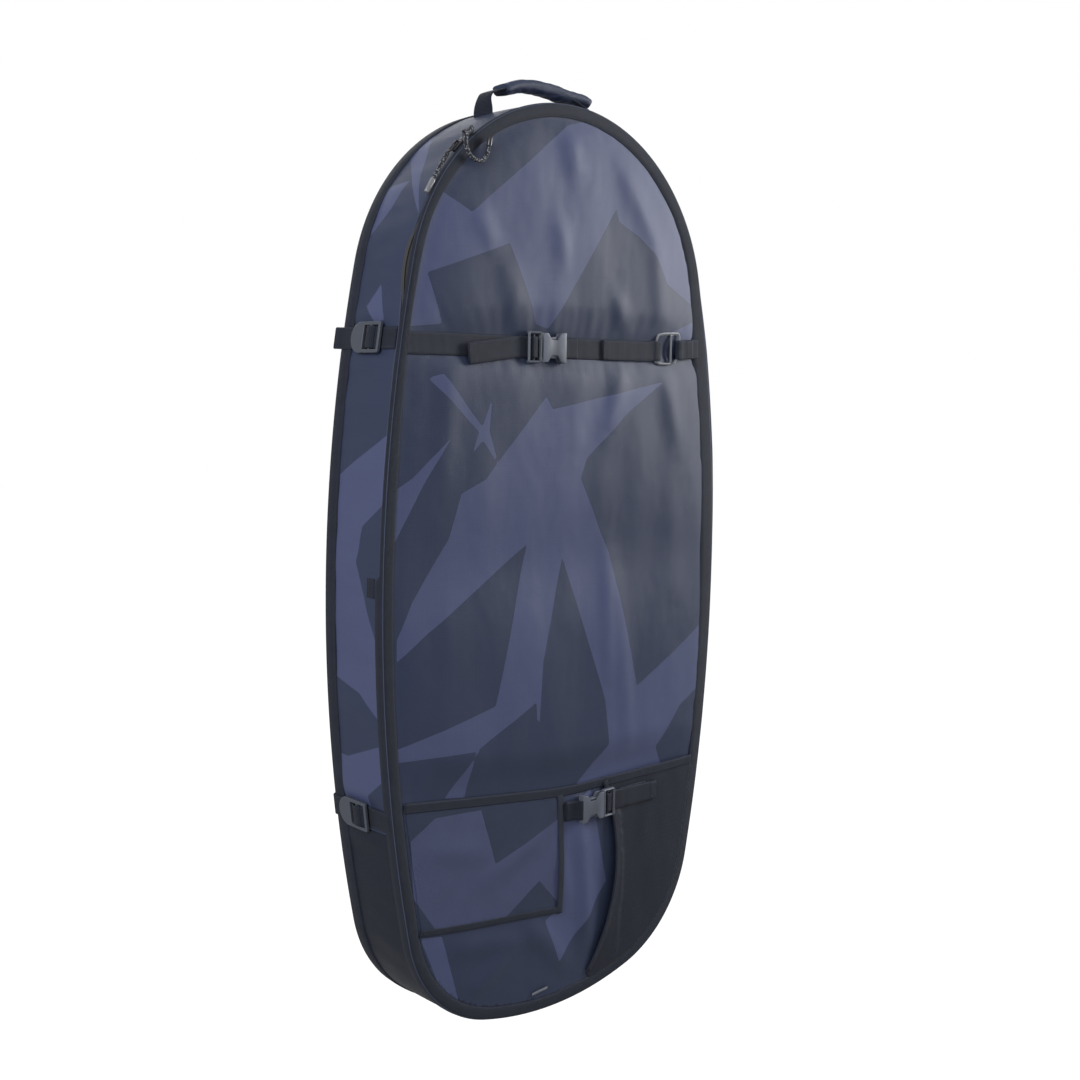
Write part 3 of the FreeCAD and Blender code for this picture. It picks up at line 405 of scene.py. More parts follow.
MATERIALS = {
    "printed": woven("printed_cloth", DARK_PRINT, LIGHT_PRINT, roughness=0.46, streak=0.07),
    "black": woven("black_cloth", BLACK_CLOTH, roughness=0.55, streak=0.12, ripstop=6),
    "lining": woven("lining_cloth", LINING, roughness=0.6, streak=0.08, thread=1.4),
    "pad": woven("pad_cloth", BLACK_CLOTH, roughness=0.6, thread=1.6, depth=0.2),
    "mesh": open_mesh("window_mesh", DARK_PRINT, LIGHT_PRINT),
    "webbing": tape("strap_webbing", WEBBING, edge=11.2),
    "sewn": tape("sewn_webbing", WEBBING, rows=(-10.3, 10.3), edge=11.6),
    "binding": tape("edge_binding", BINDING, rib=1.3, rows=(17.5,), depth=0.15, piping=-0.1),
    "hem": tape("hem_tape", BINDING, rib=1.3, rows=(-4.2, 4.2), depth=0.15),
    "zip_tape": tape("zip_tape", (0.017, 0.018, 0.022), rib=1.0, depth=0.12),
    "coil": moulded("zip_coil", (0.22, 0.225, 0.25), 0.25),
    "dark_metal": moulded("dark_metal", (0.05, 0.052, 0.06), 0.32, metallic=0.9),
    "hook_metal": moulded("hook_metal", (0.30, 0.31, 0.35), 0.34, metallic=0.6),
    "plastic": moulded("moulded_plastic", (0.085, 0.096, 0.125), 0.42),
    "lock_plastic": moulded("lock_plastic", (0.07, 0.08, 0.105), 0.36),
    "cord": braided("braided_cord", (0.016, 0.017, 0.022), (0.38, 0.41, 0.50)),
    "cord_end_left": moulded("pale_cord_end", (0.17, 0.175, 0.195), 0.16, specular=0.8),
    "cord_end_right": moulded("dark_cord_end", (0.03, 0.031, 0.036), 0.2),
    "tag": tape("woven_tag", (0.20, 0.21, 0.24), rib=0.8, depth=0.1),
}


# ---------------------------------------------------------------- mesh helpers
def mesh_piece(name, verts, faces, material, weave=None):
    """A mesh object with its rest coordinates for the cloth."""
    mesh = bpy.data.meshes.new(name)
    mesh.from_pydata([tuple(v) for v in verts], [], faces)
    obj = bpy.data.objects.new(name, mesh)
    scene.collection.objects.link(obj)
    mesh.materials.append(MATERIALS[material])
    if weave is not None:
        set_vectors(mesh, "weave", weave)
    mesh.shade_smooth()
    return obj


def set_vectors(mesh, name, values):
    values = np.asarray(values, float)
    if values.shape[1] == 2:
        values = np.column_stack([values, np.zeros(len(values))])
    layer = mesh.attributes.get(name) or mesh.attributes.new(name, "FLOAT_VECTOR", "POINT")
    layer.data.foreach_set("vector", values.astype(np.float32).ravel())


def vectors(mesh, name):
    values = np.zeros(len(mesh.vertices) * 3)
    mesh.attributes[name].data.foreach_get("vector", values)
    return values.reshape(-1, 3)


def coordinates(obj):
    co = np.zeros(len(obj.data.vertices) * 3)
    obj.data.vertices.foreach_get("co", co)
    return co.reshape(-1, 3)


def set_coordinates(obj, co):
    obj.data.vertices.foreach_set("co", np.asarray(co, float).ravel())
    obj.data.update()


def bake(obj):
    """Applies the modifiers of an object to its mesh."""
    graph = bpy.context.evaluated_depsgraph_get()
    mesh = bpy.data.meshes.new_from_object(obj.evaluated_get(graph), preserve_all_data_layers=True,
                                           depsgraph=graph)
    obj.modifiers.clear()
    obj.data = mesh
    mesh.shade_smooth()
    return obj


def add_modifier(obj, kind, **settings):
    modifier = obj.modifiers.new(kind.lower(), kind)
    for key, value in settings.items():
        setattr(modifier, key, value)
    return modifier


def subdivide(obj):
    add_modifier(obj, "SUBSURF", levels=1)
    return bake(obj)


def thicken(obj, thick, outside, **layers):
    """Gives a sheet a thickness on its inner side; outside is true if its faces look outwards."""
    add_modifier(obj, "SOLIDIFY", thickness=thick * MM, offset=-1 if outside else 1, **layers)
    return bake(obj)


def loft(name, rows, material, weave, tube=True, caps=True):
    """A skin over rows of points; tube closes each row on itself, caps fill its two ends."""
    rows = np.asarray(rows, float)
    count, width = rows.shape[:2]
    faces = []
    for i in range(count - 1):
        for k in range(width if tube else width - 1):
            n = (k + 1) % width
            faces.append((i * width + k, i * width + n, (i + 1) * width + n, (i + 1) * width + k))
    if tube and caps:
        faces.append(tuple(reversed(range(width))))
        faces.append(tuple((count - 1) * width + k for k in range(width)))
    obj = mesh_piece(name, rows.reshape(-1, 3), faces, material,
                     np.asarray(weave, float).reshape(-1, 2))
    outward(obj)
    return obj


def outward(obj):
    """Turns the faces of a closed mesh outwards."""
    work = bmesh.new()
    work.from_mesh(obj.data)
    bmesh.ops.recalc_face_normals(work, faces=work.faces)
    work.to_mesh(obj.data)
    work.free()


def place(obj, body, slot, *nodes):
    """Rides on a body and stands for CAD nodes; slot is not used."""
    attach(obj, body)
    if nodes:
        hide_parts(*nodes)
    return obj


def smooth_line(points, step):
    """Evenly spaced points along a smooth line through a few given points."""
    knots = np.asarray(points, float)
    ends = np.vstack([2 * knots[0] - knots[1], knots, 2 * knots[-1] - knots[-2]])
    dense = []
    for a, b, c, d in zip(ends, ends[1:], ends[2:], ends[3:]):
        for t in np.linspace(0, 1, 24, endpoint=False):
            dense.append(0.5 * (2 * b + (c - a) * t + (2 * a - 5 * b + 4 * c - d) * t ** 2
                                + (3 * b - a - 3 * c + d) * t ** 3))
    dense = np.array(dense + [knots[-1]])
    lengths = np.concatenate([[0], np.cumsum(np.linalg.norm(np.diff(dense, axis=0), axis=1))])
    marks = np.linspace(0, lengths[-1], max(2, int(round(lengths[-1] / step)) + 1))
    return np.column_stack([np.interp(marks, lengths, dense[:, k]) for k in range(dense.shape[1])])


def ribbon_section(width, thickness, columns=8):
    """A flat strip with rounded edges, as (across, up) points."""
    half = width / 2 - thickness / 2
    across = np.linspace(-half, half, columns + 1)
    top = [(a, thickness / 2) for a in across]
    bottom = [(a, -thickness / 2) for a in across[::-1]]
    return np.array(top + [(width / 2, 0)] + bottom + [(-width / 2, 0)])


def round_section(radius, count=12):
    turns = np.linspace(0, 2 * math.pi, count, endpoint=False)
    return np.column_stack([radius * np.cos(turns), radius * np.sin(turns)])


def unit(vectors):
    vectors = np.asarray(vectors, float)
    return vectors / np.linalg.norm(vectors, axis=-1, keepdims=True)


def sweep(name, path, across, section, material, caps=True):
    """A section carried along a path; across is its width's direction, one or one a point."""
    path = np.asarray(path, float)
    tangent = unit(np.gradient(path, axis=0))
    across = np.broadcast_to(np.asarray(across, float), path.shape)
    across = unit(across - tangent * np.sum(across * tangent, axis=1, keepdims=True))
    up = np.cross(across, tangent)
    steps = np.linalg.norm(np.diff(path, axis=0), axis=1)
    along = np.concatenate([[0], np.cumsum(steps)])
    sections = np.broadcast_to(section, (len(path), *np.shape(section)[-2:]))
    rows = path[:, None] + sections[..., :1] * across[:, None] + sections[..., 1:] * up[:, None]
    weave = np.stack([np.broadcast_to(along[:, None], sections.shape[:2]), sections[..., 0]], axis=-1)
    return loft(name, rows, material, weave, caps=caps)


def joined(name, pieces):
    """Several meshes made into one object."""
    first = pieces[0]
    with bpy.context.temp_override(active_object=first, selected_editable_objects=pieces):
        bpy.ops.object.join()
    first.name = name
    return first


def own_copy(node, name, material, bevel=0):
    """A welded copy of a CAD node, with its edges rounded by a bevel in millimetres if it has one."""
    obj = bpy.data.objects.new(name, frame["nodes"][node].data.copy())
    obj.data.materials.clear()
    obj.data.materials.append(MATERIALS[material])
    scene.collection.objects.link(obj)
    work = bmesh.new()
    work.from_mesh(obj.data)
    bmesh.ops.remove_doubles(work, verts=work.verts, dist=0.02 * MM)
    if bevel:
        bmesh.ops.dissolve_limit(work, angle_limit=math.radians(2), verts=work.verts, edges=work.edges)
    work.to_mesh(obj.data)
    work.free()
    if bevel:
        add_modifier(obj, "BEVEL", width=bevel * MM, segments=3, limit_method="ANGLE",
                     angle_limit=math.radians(40), harden_normals=False)
        bake(obj)
        obj.data.set_sharp_from_angle(angle=math.radians(50))
        set_vectors(obj.data, "weave", coordinates(obj))
    return obj


# ---------------------------------------------------------------- the bag's outline
CAP, CORNER, BASE = 243 * MM, 165 * MM, 450 * MM
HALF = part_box("back_panel_fabric")[1].x
TOP_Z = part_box("back_panel_fabric")[1].z
FOOT_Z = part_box("back_panel_fabric")[0].z
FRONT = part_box("lid_fabric")[0].y
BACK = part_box("back_panel_fabric")[1].y
FOLD_Z = (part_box("lid_fabric")[0].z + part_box("lower_front_fabric")[1].z) / 2
SPLIT_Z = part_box("gusset_upper")[0].z
WAIST_Z = TOP_Z - 590 * MM
CAP_Z = TOP_Z - CAP
BASE_Z = FOOT_Z + BASE
SIDE = (HALF ** 2 + (CAP_Z - WAIST_Z) ** 2 - CAP ** 2) / (2 * (HALF - CAP))
SIDE_X = HALF - SIDE
CAP_ANGLE = math.atan2(CAP_Z - WAIST_Z, -SIDE_X)


def corner_centre():
    """Centre of the right base corner, which touches the side arc and the base arc."""
    to_side = SIDE - CORNER
    to_base = BASE - CORNER
    span = math.hypot(SIDE_X, BASE_Z - WAIST_Z)
    along = (to_side ** 2 - to_base ** 2 + span ** 2) / (2 * span)
    off = math.sqrt(to_side ** 2 - along ** 2)
    ux, uz = -SIDE_X / span, (BASE_Z - WAIST_Z) / span
    return SIDE_X + along * ux + off * uz, WAIST_Z + along * uz - off * ux


CORNER_X, CORNER_Z = corner_centre()
CORNER_ANGLE = math.atan2(CORNER_Z - WAIST_Z, CORNER_X - SIDE_X)
BASE_ANGLE = math.atan2(CORNER_Z - BASE_Z, CORNER_X)
# Anticlockwise from the right end of the base arc: centre, radius, first and last angle.
ARCS = ((CORNER_X, CORNER_Z, CORNER, BASE_ANGLE, CORNER_ANGLE),
        (SIDE_X, WAIST_Z, SIDE, CORNER_ANGLE, CAP_ANGLE),
        (0, CAP_Z, CAP, CAP_ANGLE, math.pi - CAP_ANGLE),
        (-SIDE_X, WAIST_Z, SIDE, math.pi - CAP_ANGLE, math.pi - CORNER_ANGLE),
        (-CORNER_X, CORNER_Z, CORNER, math.pi - CORNER_ANGLE, math.pi - BASE_ANGLE),
        (0, BASE_Z, BASE, math.pi - BASE_ANGLE, 2 * math.pi + BASE_ANGLE))
BASE_HALF = BASE * (math.pi / 2 + BASE_ANGLE)


def outline(start, end, step):
    """Stations on the shell's edge between two lengths from the foot's middle, anticlockwise.

    Gives x, z, the outward normal's x and z, and the length from the middle of the top.
    """
    spans = [(ARCS[5][0], ARCS[5][1], BASE, 1.5 * math.pi, 2 * math.pi + BASE_ANGLE), *ARCS[:5],
             (ARCS[5][0], ARCS[5][1], BASE, math.pi - BASE_ANGLE, 1.5 * math.pi)]
    lengths = np.concatenate([[0], np.cumsum([r * (b - a) for _, _, r, a, b in spans])])
    count = int(round((end - start) / step)) + 1
    rows = []
    for mark in np.linspace(start, end, count):
        k = min(len(spans) - 1, max(0, int(np.searchsorted(lengths, mark, side="right")) - 1))
        cx, cz, radius, first, _ = spans[k]
        angle = first + (mark - lengths[k]) / radius
        nx, nz = math.cos(angle), math.sin(angle)
        rows.append((cx + radius * nx, cz + radius * nz, nx, nz, mark - lengths[-1] / 2))
    return np.array(rows)


GIRTH = 2 * (BASE_HALF + CORNER * (CORNER_ANGLE - BASE_ANGLE) + SIDE * (CAP_ANGLE - CORNER_ANGLE)
             + CAP * (math.pi / 2 - CAP_ANGLE))


def length_at(z):
    """The length from the foot's middle to a level on the right side arc."""
    angle = math.asin((z - WAIST_Z) / SIDE)
    return BASE_HALF + CORNER * (CORNER_ANGLE - BASE_ANGLE) + SIDE * (angle - CORNER_ANGLE)


def edge_frame(x, z):
    """How far points lie inside the outline, and the outward normal there."""
    inset = np.full(len(x), np.inf)
    nx, nz = np.zeros(len(x)), np.ones(len(x))
    for cx, cz, radius, first, last in ARCS:
        dx, dz = x - cx, z - cz
        reach = np.hypot(dx, dz) + 1e-12
        angle = np.mod(np.arctan2(dz, dx) - first, 2 * math.pi)
        here = (angle <= last - first + 1e-9) & (radius - reach < inset)
        inset = np.where(here, radius - reach, inset)
        nx, nz = np.where(here, dx / reach, nx), np.where(here, dz / reach, nz)
    return inset, nx, nz


def half_at(z, inset=0.0):
    return SIDE_X + math.sqrt((SIDE - inset) ** 2 - (z - WAIST_Z) ** 2)


def smooth_step(value, low, high):
    t = np.clip((value - low) / (high - low), 0, 1)
    return t * t * (3 - 2 * t)


# ---------------------------------------------------------------- the print
# Pale shards on the darker ground, in millimetres: x and z on the front and the pocket.
FRONT_SHARDS = (
    ((-200, -135), (-160, -155), (-10, -40), (45, -25), (115, -45), (190, -110), (235, -190),
     (250, -260), (225, -240), (165, -215), (140, -180), (110, -160), (75, -145), (70, -130),
     (-40, -280), (-60, -275), (-105, -185), (-220, -225), (-200, -280), (-250, -285),
     (-245, -230), (-225, -165)),
    ((185, -275), (230, -260), (255, -265), (255, -305), (190, -305)),
    ((165, -340), (95, -380), (25, -435), (15, -460), (70, -555), (90, -620), (125, -735),
     (255, -670), (260, -755), (215, -775), (170, -825), (190, -860), (20, -855), (75, -805), (65, -745),
     (-10, -555), (-45, -680), (-50, -775), (-55, -730), (-150, -775), (-160, -830),
     (-190, -825), (-145, -775), (-260, -770), (-260, -755), (-120, -725), (-70, -535),
     (-225, -630), (-260, -655), (-260, -630), (-240, -590), (-190, -520), (-175, -470),
     (-140, -455), (-45, -360), (-35, -375)),
    ((-220, -340), (-200, -335), (-145, -395), (-130, -360), (-135, -400), (-120, -440),
     (-145, -410), (-160, -425), (-150, -400)),
    ((-190, -405), (-240, -450), (-265, -465), (-265, -525), (-225, -455)))
POCKET_SHARDS = (
    ((-240, -865), (-205, -845), (-135, -850), (-115, -920), (-15, -890), (50, -860), (80, -990),
     (-5, -1075), (-30, -1015), (0, -1005), (-40, -960), (-100, -995), (-200, -985),
     (-235, -935)),
    ((-225, -985), (-195, -990), (-165, -1085), (-195, -1055)))
# On the gusset: y, and the length from the middle of the top.
GUSSET_SHARDS = (
    ((60, 100), (0, 200), (-15, 230), (-50, 290), (0, 230), (60, 165)),
    ((60, 245), (0, 235), (10, 270), (30, 300), (60, 310)),
    ((-5, 360), (15, 385), (-5, 405), (-20, 400)),
    ((-60, 520), (-10, 550), (60, 590), (60, 800), (-10, 820), (-60, 860), (-60, 800), (-5, 670),
     (-15, 630), (-60, 595)),
    ((60, 900), (20, 900), (-60, 870), (-60, 905), (-15, 940), (-15, 965), (60, 965)))


def signed_distance(shards, u, v):
    """Distance to the shards' edges, above zero inside a shard."""
    best = np.full(len(u), np.inf)
    inside = np.zeros(len(u), bool)
    for shard in shards:
        corners = np.array(shard, float) * MM
        for (au, av), (bu, bv) in zip(corners, np.roll(corners, -1, axis=0)):
            du, dv = bu - au, bv - av
            t = np.clip(((u - au) * du + (v - av) * dv) / (du * du + dv * dv), 0, 1)
            best = np.minimum(best, np.hypot(u - au - t * du, v - av - t * dv))
            crosses = (av > v) != (bv > v)
            slope = du / dv if dv else 0.0
            inside ^= crosses & (u < au + (v - av) * slope)
    return np.where(inside, best, -best)


def paint(obj, shards, u, v):
    """Stores how far each point of the cloth lies inside the print's pale shards."""
    layer = obj.data.attributes.get("print") or obj.data.attributes.new("print", "FLOAT", "POINT")
    layer.data.foreach_set("value", signed_distance(shards, u, v).astype(np.float32))


# ---------------------------------------------------------------- front and back panels
PANEL_EDGE = 3 * MM
CLOTH_STIFFNESS = 12
# Levels of the two front straps, in millimetres.
UPPER_STRAP, LOWER_STRAP = -302, -881
# Soft folds on the front and the pocket, in millimetres: two ends in x and z, height and half width.
FOLDS = (
    (-10, -50, 0, -100, 2.2, 13), (-155, -150, -130, -190, 1.6, 12), (80, -80, 145, -170, 2.4, 14),
    (145, -170, 155, -270, 2.6, 15), (-30, -150, -20, -200, 1.5, 12), (70, -235, 90, -275, 1.8, 11),
    (85, -330, 60, -405, 2.2, 13), (170, -340, 195, -425, 2.0, 13), (65, -540, 70, -710, 2.0, 11),
    (80, -565, 115, -835, 1.9, 12), (-115, -205, -85, -285, 2.0, 15), (-190, -320, -200, -455, 1.8, 14),
    (-120, -340, -150, -520, 1.2, 22), (10, -330, 0, -430, 1.3, 16), (190, -470, 205, -640, 1.4, 20),
    (-60, -600, -90, -760, 1.2, 20), (-190, -600, -200, -760, 1.2, 18))
POCKET_FOLDS = (
    (30, -900, 44, -1060, 3.6, 15), (-60, -1010, 10, -1085, 1.8, 16), (-180, -1010, -60, -1030, 1.4, 14),
    (-215, -880, -120, -905, 1.5, 15), (-130, -940, -40, -900, 1.6, 16), (-90, -1040, -150, -1075, 1.6, 14),
    (15, -870, 60, -885, 1.5, 10), (-5, -930, 12, -1010, 1.5, 12))


def panel_grid(step, edge):
    """A grid over the outline whose rim is pulled onto it: points, and faces by index."""
    columns = np.arange(-int(HALF / step) - 2, int(HALF / step) + 3) * step
    levels = np.arange(int((TOP_Z - FOOT_Z) / step) + 4) * step + FOOT_Z - step
    x, z = (grid.ravel() for grid in np.meshgrid(columns, levels))
    inset, nx, nz = edge_frame(x, z)
    inside = inset > edge + 0.3 * step
    wide = len(columns)
    faces = []
    for row in range(len(levels) - 1):
        for k in range(wide - 1):
            quad = (row * wide + k, row * wide + k + 1, (row + 1) * wide + k + 1, (row + 1) * wide + k)
            if any(inside[i] for i in quad):
                faces.append(quad)
    move = np.where(inside, 0, inset - edge)
    x, z = x + nx * move, z + nz * move
    used = sorted({i for quad in faces for i in quad})
    new = {old: i for i, old in enumerate(used)}
    faces = [tuple(new[i] for i in quad) for quad in faces]
    return x[used], z[used], faces


def front_limit(x, z):
    """The most that the padded front may stand out, in metres: low at seams and under straps."""
    inset, _, _ = edge_frame(x, z)
    swell = 7.5 * MM * (1 - np.exp(-np.clip(inset - 14 * MM, 0, None) / (45 * MM)))
    swell *= 1 - 0.88 * np.exp(-((z - UPPER_STRAP * MM) / (26 * MM)) ** 2)
    swell *= 0.03 + 0.97 * smooth_step(z / MM - hem_z(x / MM), 9, 60)
    swell *= 1 - 0.55 * np.exp(-((z - FOLD_Z) / (60 * MM)) ** 2)
    return swell


def fold_height(x, z, folds, gain=1.6, spread=1.25):
    """Long soft ridges with tapered ends."""
    total = np.zeros(len(x))
    for ax, az, bx, bz, tall, wide in folds:
        a, b = np.array((ax, az)) * MM, np.array((bx, bz)) * MM
        run = b - a
        t = ((x - a[0]) * run[0] + (z - a[1]) * run[1]) / (run @ run)
        off = np.hypot(x - a[0] - np.clip(t, 0, 1) * run[0], z - a[1] - np.clip(t, 0, 1) * run[1])
        taper = 1 - 0.6 * np.abs(2 * np.clip(t, 0, 1) - 1) ** 3
        total += gain * tall * MM * np.exp(-(off / (spread * wide * MM)) ** 2) * taper
    return total


def ripple(points, scale, height, stretch=(1, 1, 1)):
    """Gentle uneven waves from smooth noise."""
    stretched_points = [Vector([a * b for a, b in zip(point, stretch)]) for point in points]
    return np.array([height * noise.noise(point / scale) for point in stretched_points])


def settle(obj, cloth, frames):
    """Runs a cloth modifier and keeps its result."""
    cloth.collision_settings.use_collision = False
    cloth.point_cache.frame_start = 1
    cloth.point_cache.frame_end = frames
    for number in range(1, frames + 1):
        scene.frame_set(number)
    bake(obj)
    scene.frame_set(1)


def relax_cloth(obj, pinned, push, frames, growth):
    """Lets a growing cloth settle under a steady push, with some points held."""
    group = obj.vertex_groups.new(name="held")
    group.add([int(i) for i in np.flatnonzero(pinned)], 1.0, "REPLACE")
    cloth = add_modifier(obj, "CLOTH")
    cloth.settings.vertex_group_mass = "held"
    cloth.settings.quality = 4
    cloth.settings.mass = 0.25
    cloth.settings.tension_stiffness = CLOTH_STIFFNESS
    cloth.settings.compression_stiffness = CLOTH_STIFFNESS
    cloth.settings.shear_stiffness = CLOTH_STIFFNESS / 2
    cloth.settings.bending_stiffness = 1.5
    cloth.settings.air_damping = 4
    cloth.settings.shrink_min = -growth
    cloth.settings.effector_weights.gravity = 1.0
    old = scene.gravity.copy()
    scene.gravity = push
    settle(obj, cloth, frames)
    obj.vertex_groups.clear()
    scene.gravity = old


def make_front_panel():
    """One padded printed cloth from top to foot; its crown dips at the fold."""
    x, z, faces = panel_grid(7 * MM, PANEL_EDGE)
    inset, _, _ = edge_frame(x, z)
    cap = front_limit(x, z)
    y = FRONT - 0.8 * cap
    obj = mesh_piece("front_panel", np.column_stack([x, y, z]), faces, "printed",
                     np.column_stack([x, z]))
    under_strap = np.abs(z - UPPER_STRAP * MM) < 10 * MM
    held = (inset < 20 * MM) | under_strap | (z / MM < hem_z(x / MM) + 9)
    relax_cloth(obj, held, (0, -2.5, -0.6), 24, growth=0.006)
    co = coordinates(obj)
    y = np.clip(co[:, 1], FRONT - 1.25 * cap - 0.4 * MM, FRONT + 0.6 * MM)
    set_coordinates(obj, np.column_stack([x, y, z]))
    subdivide(obj)
    co = coordinates(obj)
    calm = np.clip(front_limit(co[:, 0], co[:, 2]) / (4 * MM), 0, 1)
    folds = fold_height(co[:, 0], co[:, 2], FOLDS) * calm
    waves = ripple(co, 0.075, 1.5 * MM, (1.6, 1, 0.7)) + ripple(co, 0.02, 0.22 * MM, (1.5, 1, 0.8))
    co[:, 1] -= folds + waves * calm
    set_coordinates(obj, co)
    obj.data.materials.append(MATERIALS["lining"])
    thicken(obj, 7, faces_front(obj), material_offset=1, material_offset_rim=1)
    co = coordinates(obj)
    set_vectors(obj.data, "weave", co[:, [0, 2]])
    paint(obj, FRONT_SHARDS, co[:, 0], co[:, 2])
    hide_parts("lid_fabric", "lid_foam", "lower_front_fabric", "lower_front_foam")
    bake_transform(obj)
    return obj


def faces_front(obj):
    """Whether most faces look to the front."""
    return sum(face.normal.y * face.area for face in obj.data.polygons) < 0


def make_back_panel():
    """The padded black back: flat behind the harness, softly crowned below it."""
    x, z, faces = panel_grid(9 * MM, PANEL_EDGE)
    inset, _, _ = edge_frame(x, z)
    swell = 6 * MM * (1 - np.exp(-np.clip(inset - 10 * MM, 0, None) / (40 * MM)))
    swell *= 0.12 + 0.88 * smooth_step(-z, 0.70, 0.78)
    outward_faces = [tuple(reversed(face)) for face in faces]
    obj = mesh_piece("back_panel", np.column_stack([x, BACK + 0 * x, z]), outward_faces, "black",
                     np.column_stack([x, z]))
    co = coordinates(obj)
    co[:, 1] = BACK + swell + ripple(co, 0.06, 1.0 * MM) * np.clip(swell / (4 * MM), 0, 1)
    set_coordinates(obj, co)
    subdivide(obj)
    obj.data.materials.append(MATERIALS["lining"])
    thicken(obj, 11, True, material_offset=1, material_offset_rim=1)
    set_vectors(obj.data, "weave", coordinates(obj)[:, [0, 2]])
    place(obj, "shell", "black_fabric", "back_panel_fabric", "back_panel_foam")


# ---------------------------------------------------------------- gusset
# Levels of the straps on the flanks, in millimetres.
FLANK_LEVELS = {"upper": -297, "lower": -841}


def gusset_rows(start, end, front, back, columns, step):
    """Rows of the side wall: stations along the edge, and y from front to back."""
    line = outline(start, end, step)
    t = np.linspace(0, 1, columns + 1)
    first = np.array([front(z, s) for z, s in line[:, [1, 4]]])
    y = first[:, None] + (back - first[:, None]) * t
    return line, t, y


def gusset_piece(name, start, end, front, material, slot, nodes, pucker):
    """A stretch of the side wall: soft cross folds, pinched where the flank straps pull."""
    line, t, y = gusset_rows(start, end, front, BACK - 1 * MM, 22, 5 * MM)
    s = line[:, 4]
    px, pz, nx, nz = line[:, 0:1], line[:, 1:2], line[:, 2:3], line[:, 3:4]
    middle = np.sin(math.pi * t)[None, :] ** 0.8
    bulge = 1.6 * MM * middle
    waves = np.array([[noise.noise(Vector((u / 0.045, v / 0.11, 3.0)))
                       + 0.5 * noise.noise(Vector((u / 0.018, v / 0.05, 9.0)))
                       for v in row] for u, row in zip(s, y)])
    straight = np.abs(nx[:, 0]) > 0.6
    strength = np.where(straight, 1.0, 0.55)[:, None]
    drop = bulge + pucker * MM * waves * middle * strength
    for level in FLANK_LEVELS.values():
        pinch = np.exp(-((pz - level * MM) / (20 * MM)) ** 2)
        ripples = np.exp(-((np.abs(pz - level * MM) - 26 * MM) / (14 * MM)) ** 2)
        drop = drop * (1 - 0.95 * pinch) - 1.6 * MM * pinch * middle + 1.8 * MM * ripples * middle
    rows = np.stack([px + drop * nx, y, pz + drop * nz], axis=-1)
    weave = np.stack([np.broadcast_to(s[:, None], y.shape), y], axis=-1)
    obj = loft(name, rows, material, weave, tube=False)
    obj.data.materials.append(MATERIALS["lining"])
    subdivide(obj)
    facing = sum((face.normal.x * face.center.x + face.normal.z * (face.center.z + 0.6)) * face.area
                 for face in obj.data.polygons)
    thicken(obj, 2, facing > 0, material_offset=1, material_offset_rim=0)
    weave = vectors(obj.data, "weave")
    paint(obj, GUSSET_SHARDS, weave[:, 1], np.abs(weave[:, 0]))
    place(obj, "shell", slot, *nodes)


def gape(z, s):
    """How far the zip bulges out between the cloths, from 0 to 1, near the top left."""
    return math.exp(-((z + 0.215) / 0.04) ** 2) if s > 0 else 0


def zip_side(z, s):
    """Where the gusset's front edge lies; it pulls back from the zip where it bulges."""
    if z < FOLD_Z:
        return FRONT + 3 * MM
    return FRONT + (6.5 + 8.5 * gape(z, s)) * MM


def plain_side(z, s):
    return FRONT + 3 * MM


def make_gusset():
    right = length_at(SPLIT_Z)
    gusset_piece("gusset_upper_cloth", right, GIRTH - right, zip_side, "printed", "printed_fabric",
                 ["gusset_upper"], 2.2)
    gusset_piece("gusset_lower_left", GIRTH - right, GIRTH, plain_side, "black", "black_fabric", [], 1.6)
    gusset_piece("gusset_lower_right", 0, right, plain_side, "black", "black_fabric", ["gusset_lower"], 1.6)


# ---------------------------------------------------------------- bindings
# Width of the front binding's face at lengths from the middle of the top: below zero is the right.
FACE_WIDTHS = ((-1450, 17), (-985, 20), (-860, 25), (-600, 26), (-420, 30), (-250, 20), (-60, 17),
               (60, 15), (250, 11), (420, 9.5), (560, 14), (900, 15), (1450, 16))
# How far its edge stands out past the shell.
PROUD_EDGE = ((-1450, 1.5), (-900, 2), (-720, 3), (-560, 6), (-420, 5), (-350, 1.8),
              (0, 1.5), (1450, 1.5))


def at_length(table, s):
    """Reads a table of lengths and values, in millimetres, at a length in metres."""
    marks, values = zip(*table)
    return float(np.interp(s / MM, marks, values))


def binding_section(face, side, lift=1.5, roll=2.6, proud=1.5):
    """A tape folded round an edge, as (inset, outward from the face) points of a closed loop."""
    outer = [(face, 0.2), (face - 0.5, 1.1), (face * 0.62, lift + 0.3), (face * 0.3, lift + 0.35)]
    turn = np.radians([80, 55, 30, 8])
    outer += [(roll - (roll + 1.2) * math.cos(t) + 1.7 - proud, lift - roll + roll * math.sin(t))
              for t in turn]
    outer += [(-proud, -side * 0.5), (0.15 - proud, -side + 0.5), (-0.6, -side)]
    inner = [(0.3, -side), (0.3, -side * 0.5), (0.8, -1.2), (2.0, -0.4), (face * 0.5, 0.0)]
    return np.array(outer + inner) * MM


TAPE_FACE = 20 * MM


def binding_piece(name, line, face_y, sign, sections, material):
    """Carries a binding's section along the edge; sign is +1 to face the back."""
    rows = []
    weave = []
    for (x, z, nx, nz, s), section in zip(line, sections):
        inset, out = section[:, 0], section[:, 1]
        rows.append(np.column_stack([x - inset * nx, face_y + sign * out, z - inset * nz]))
        weave.append(np.column_stack([np.full(len(section), s), inset / inset.max() * TAPE_FACE]))
    return loft(name, rows, material, weave, caps=False)


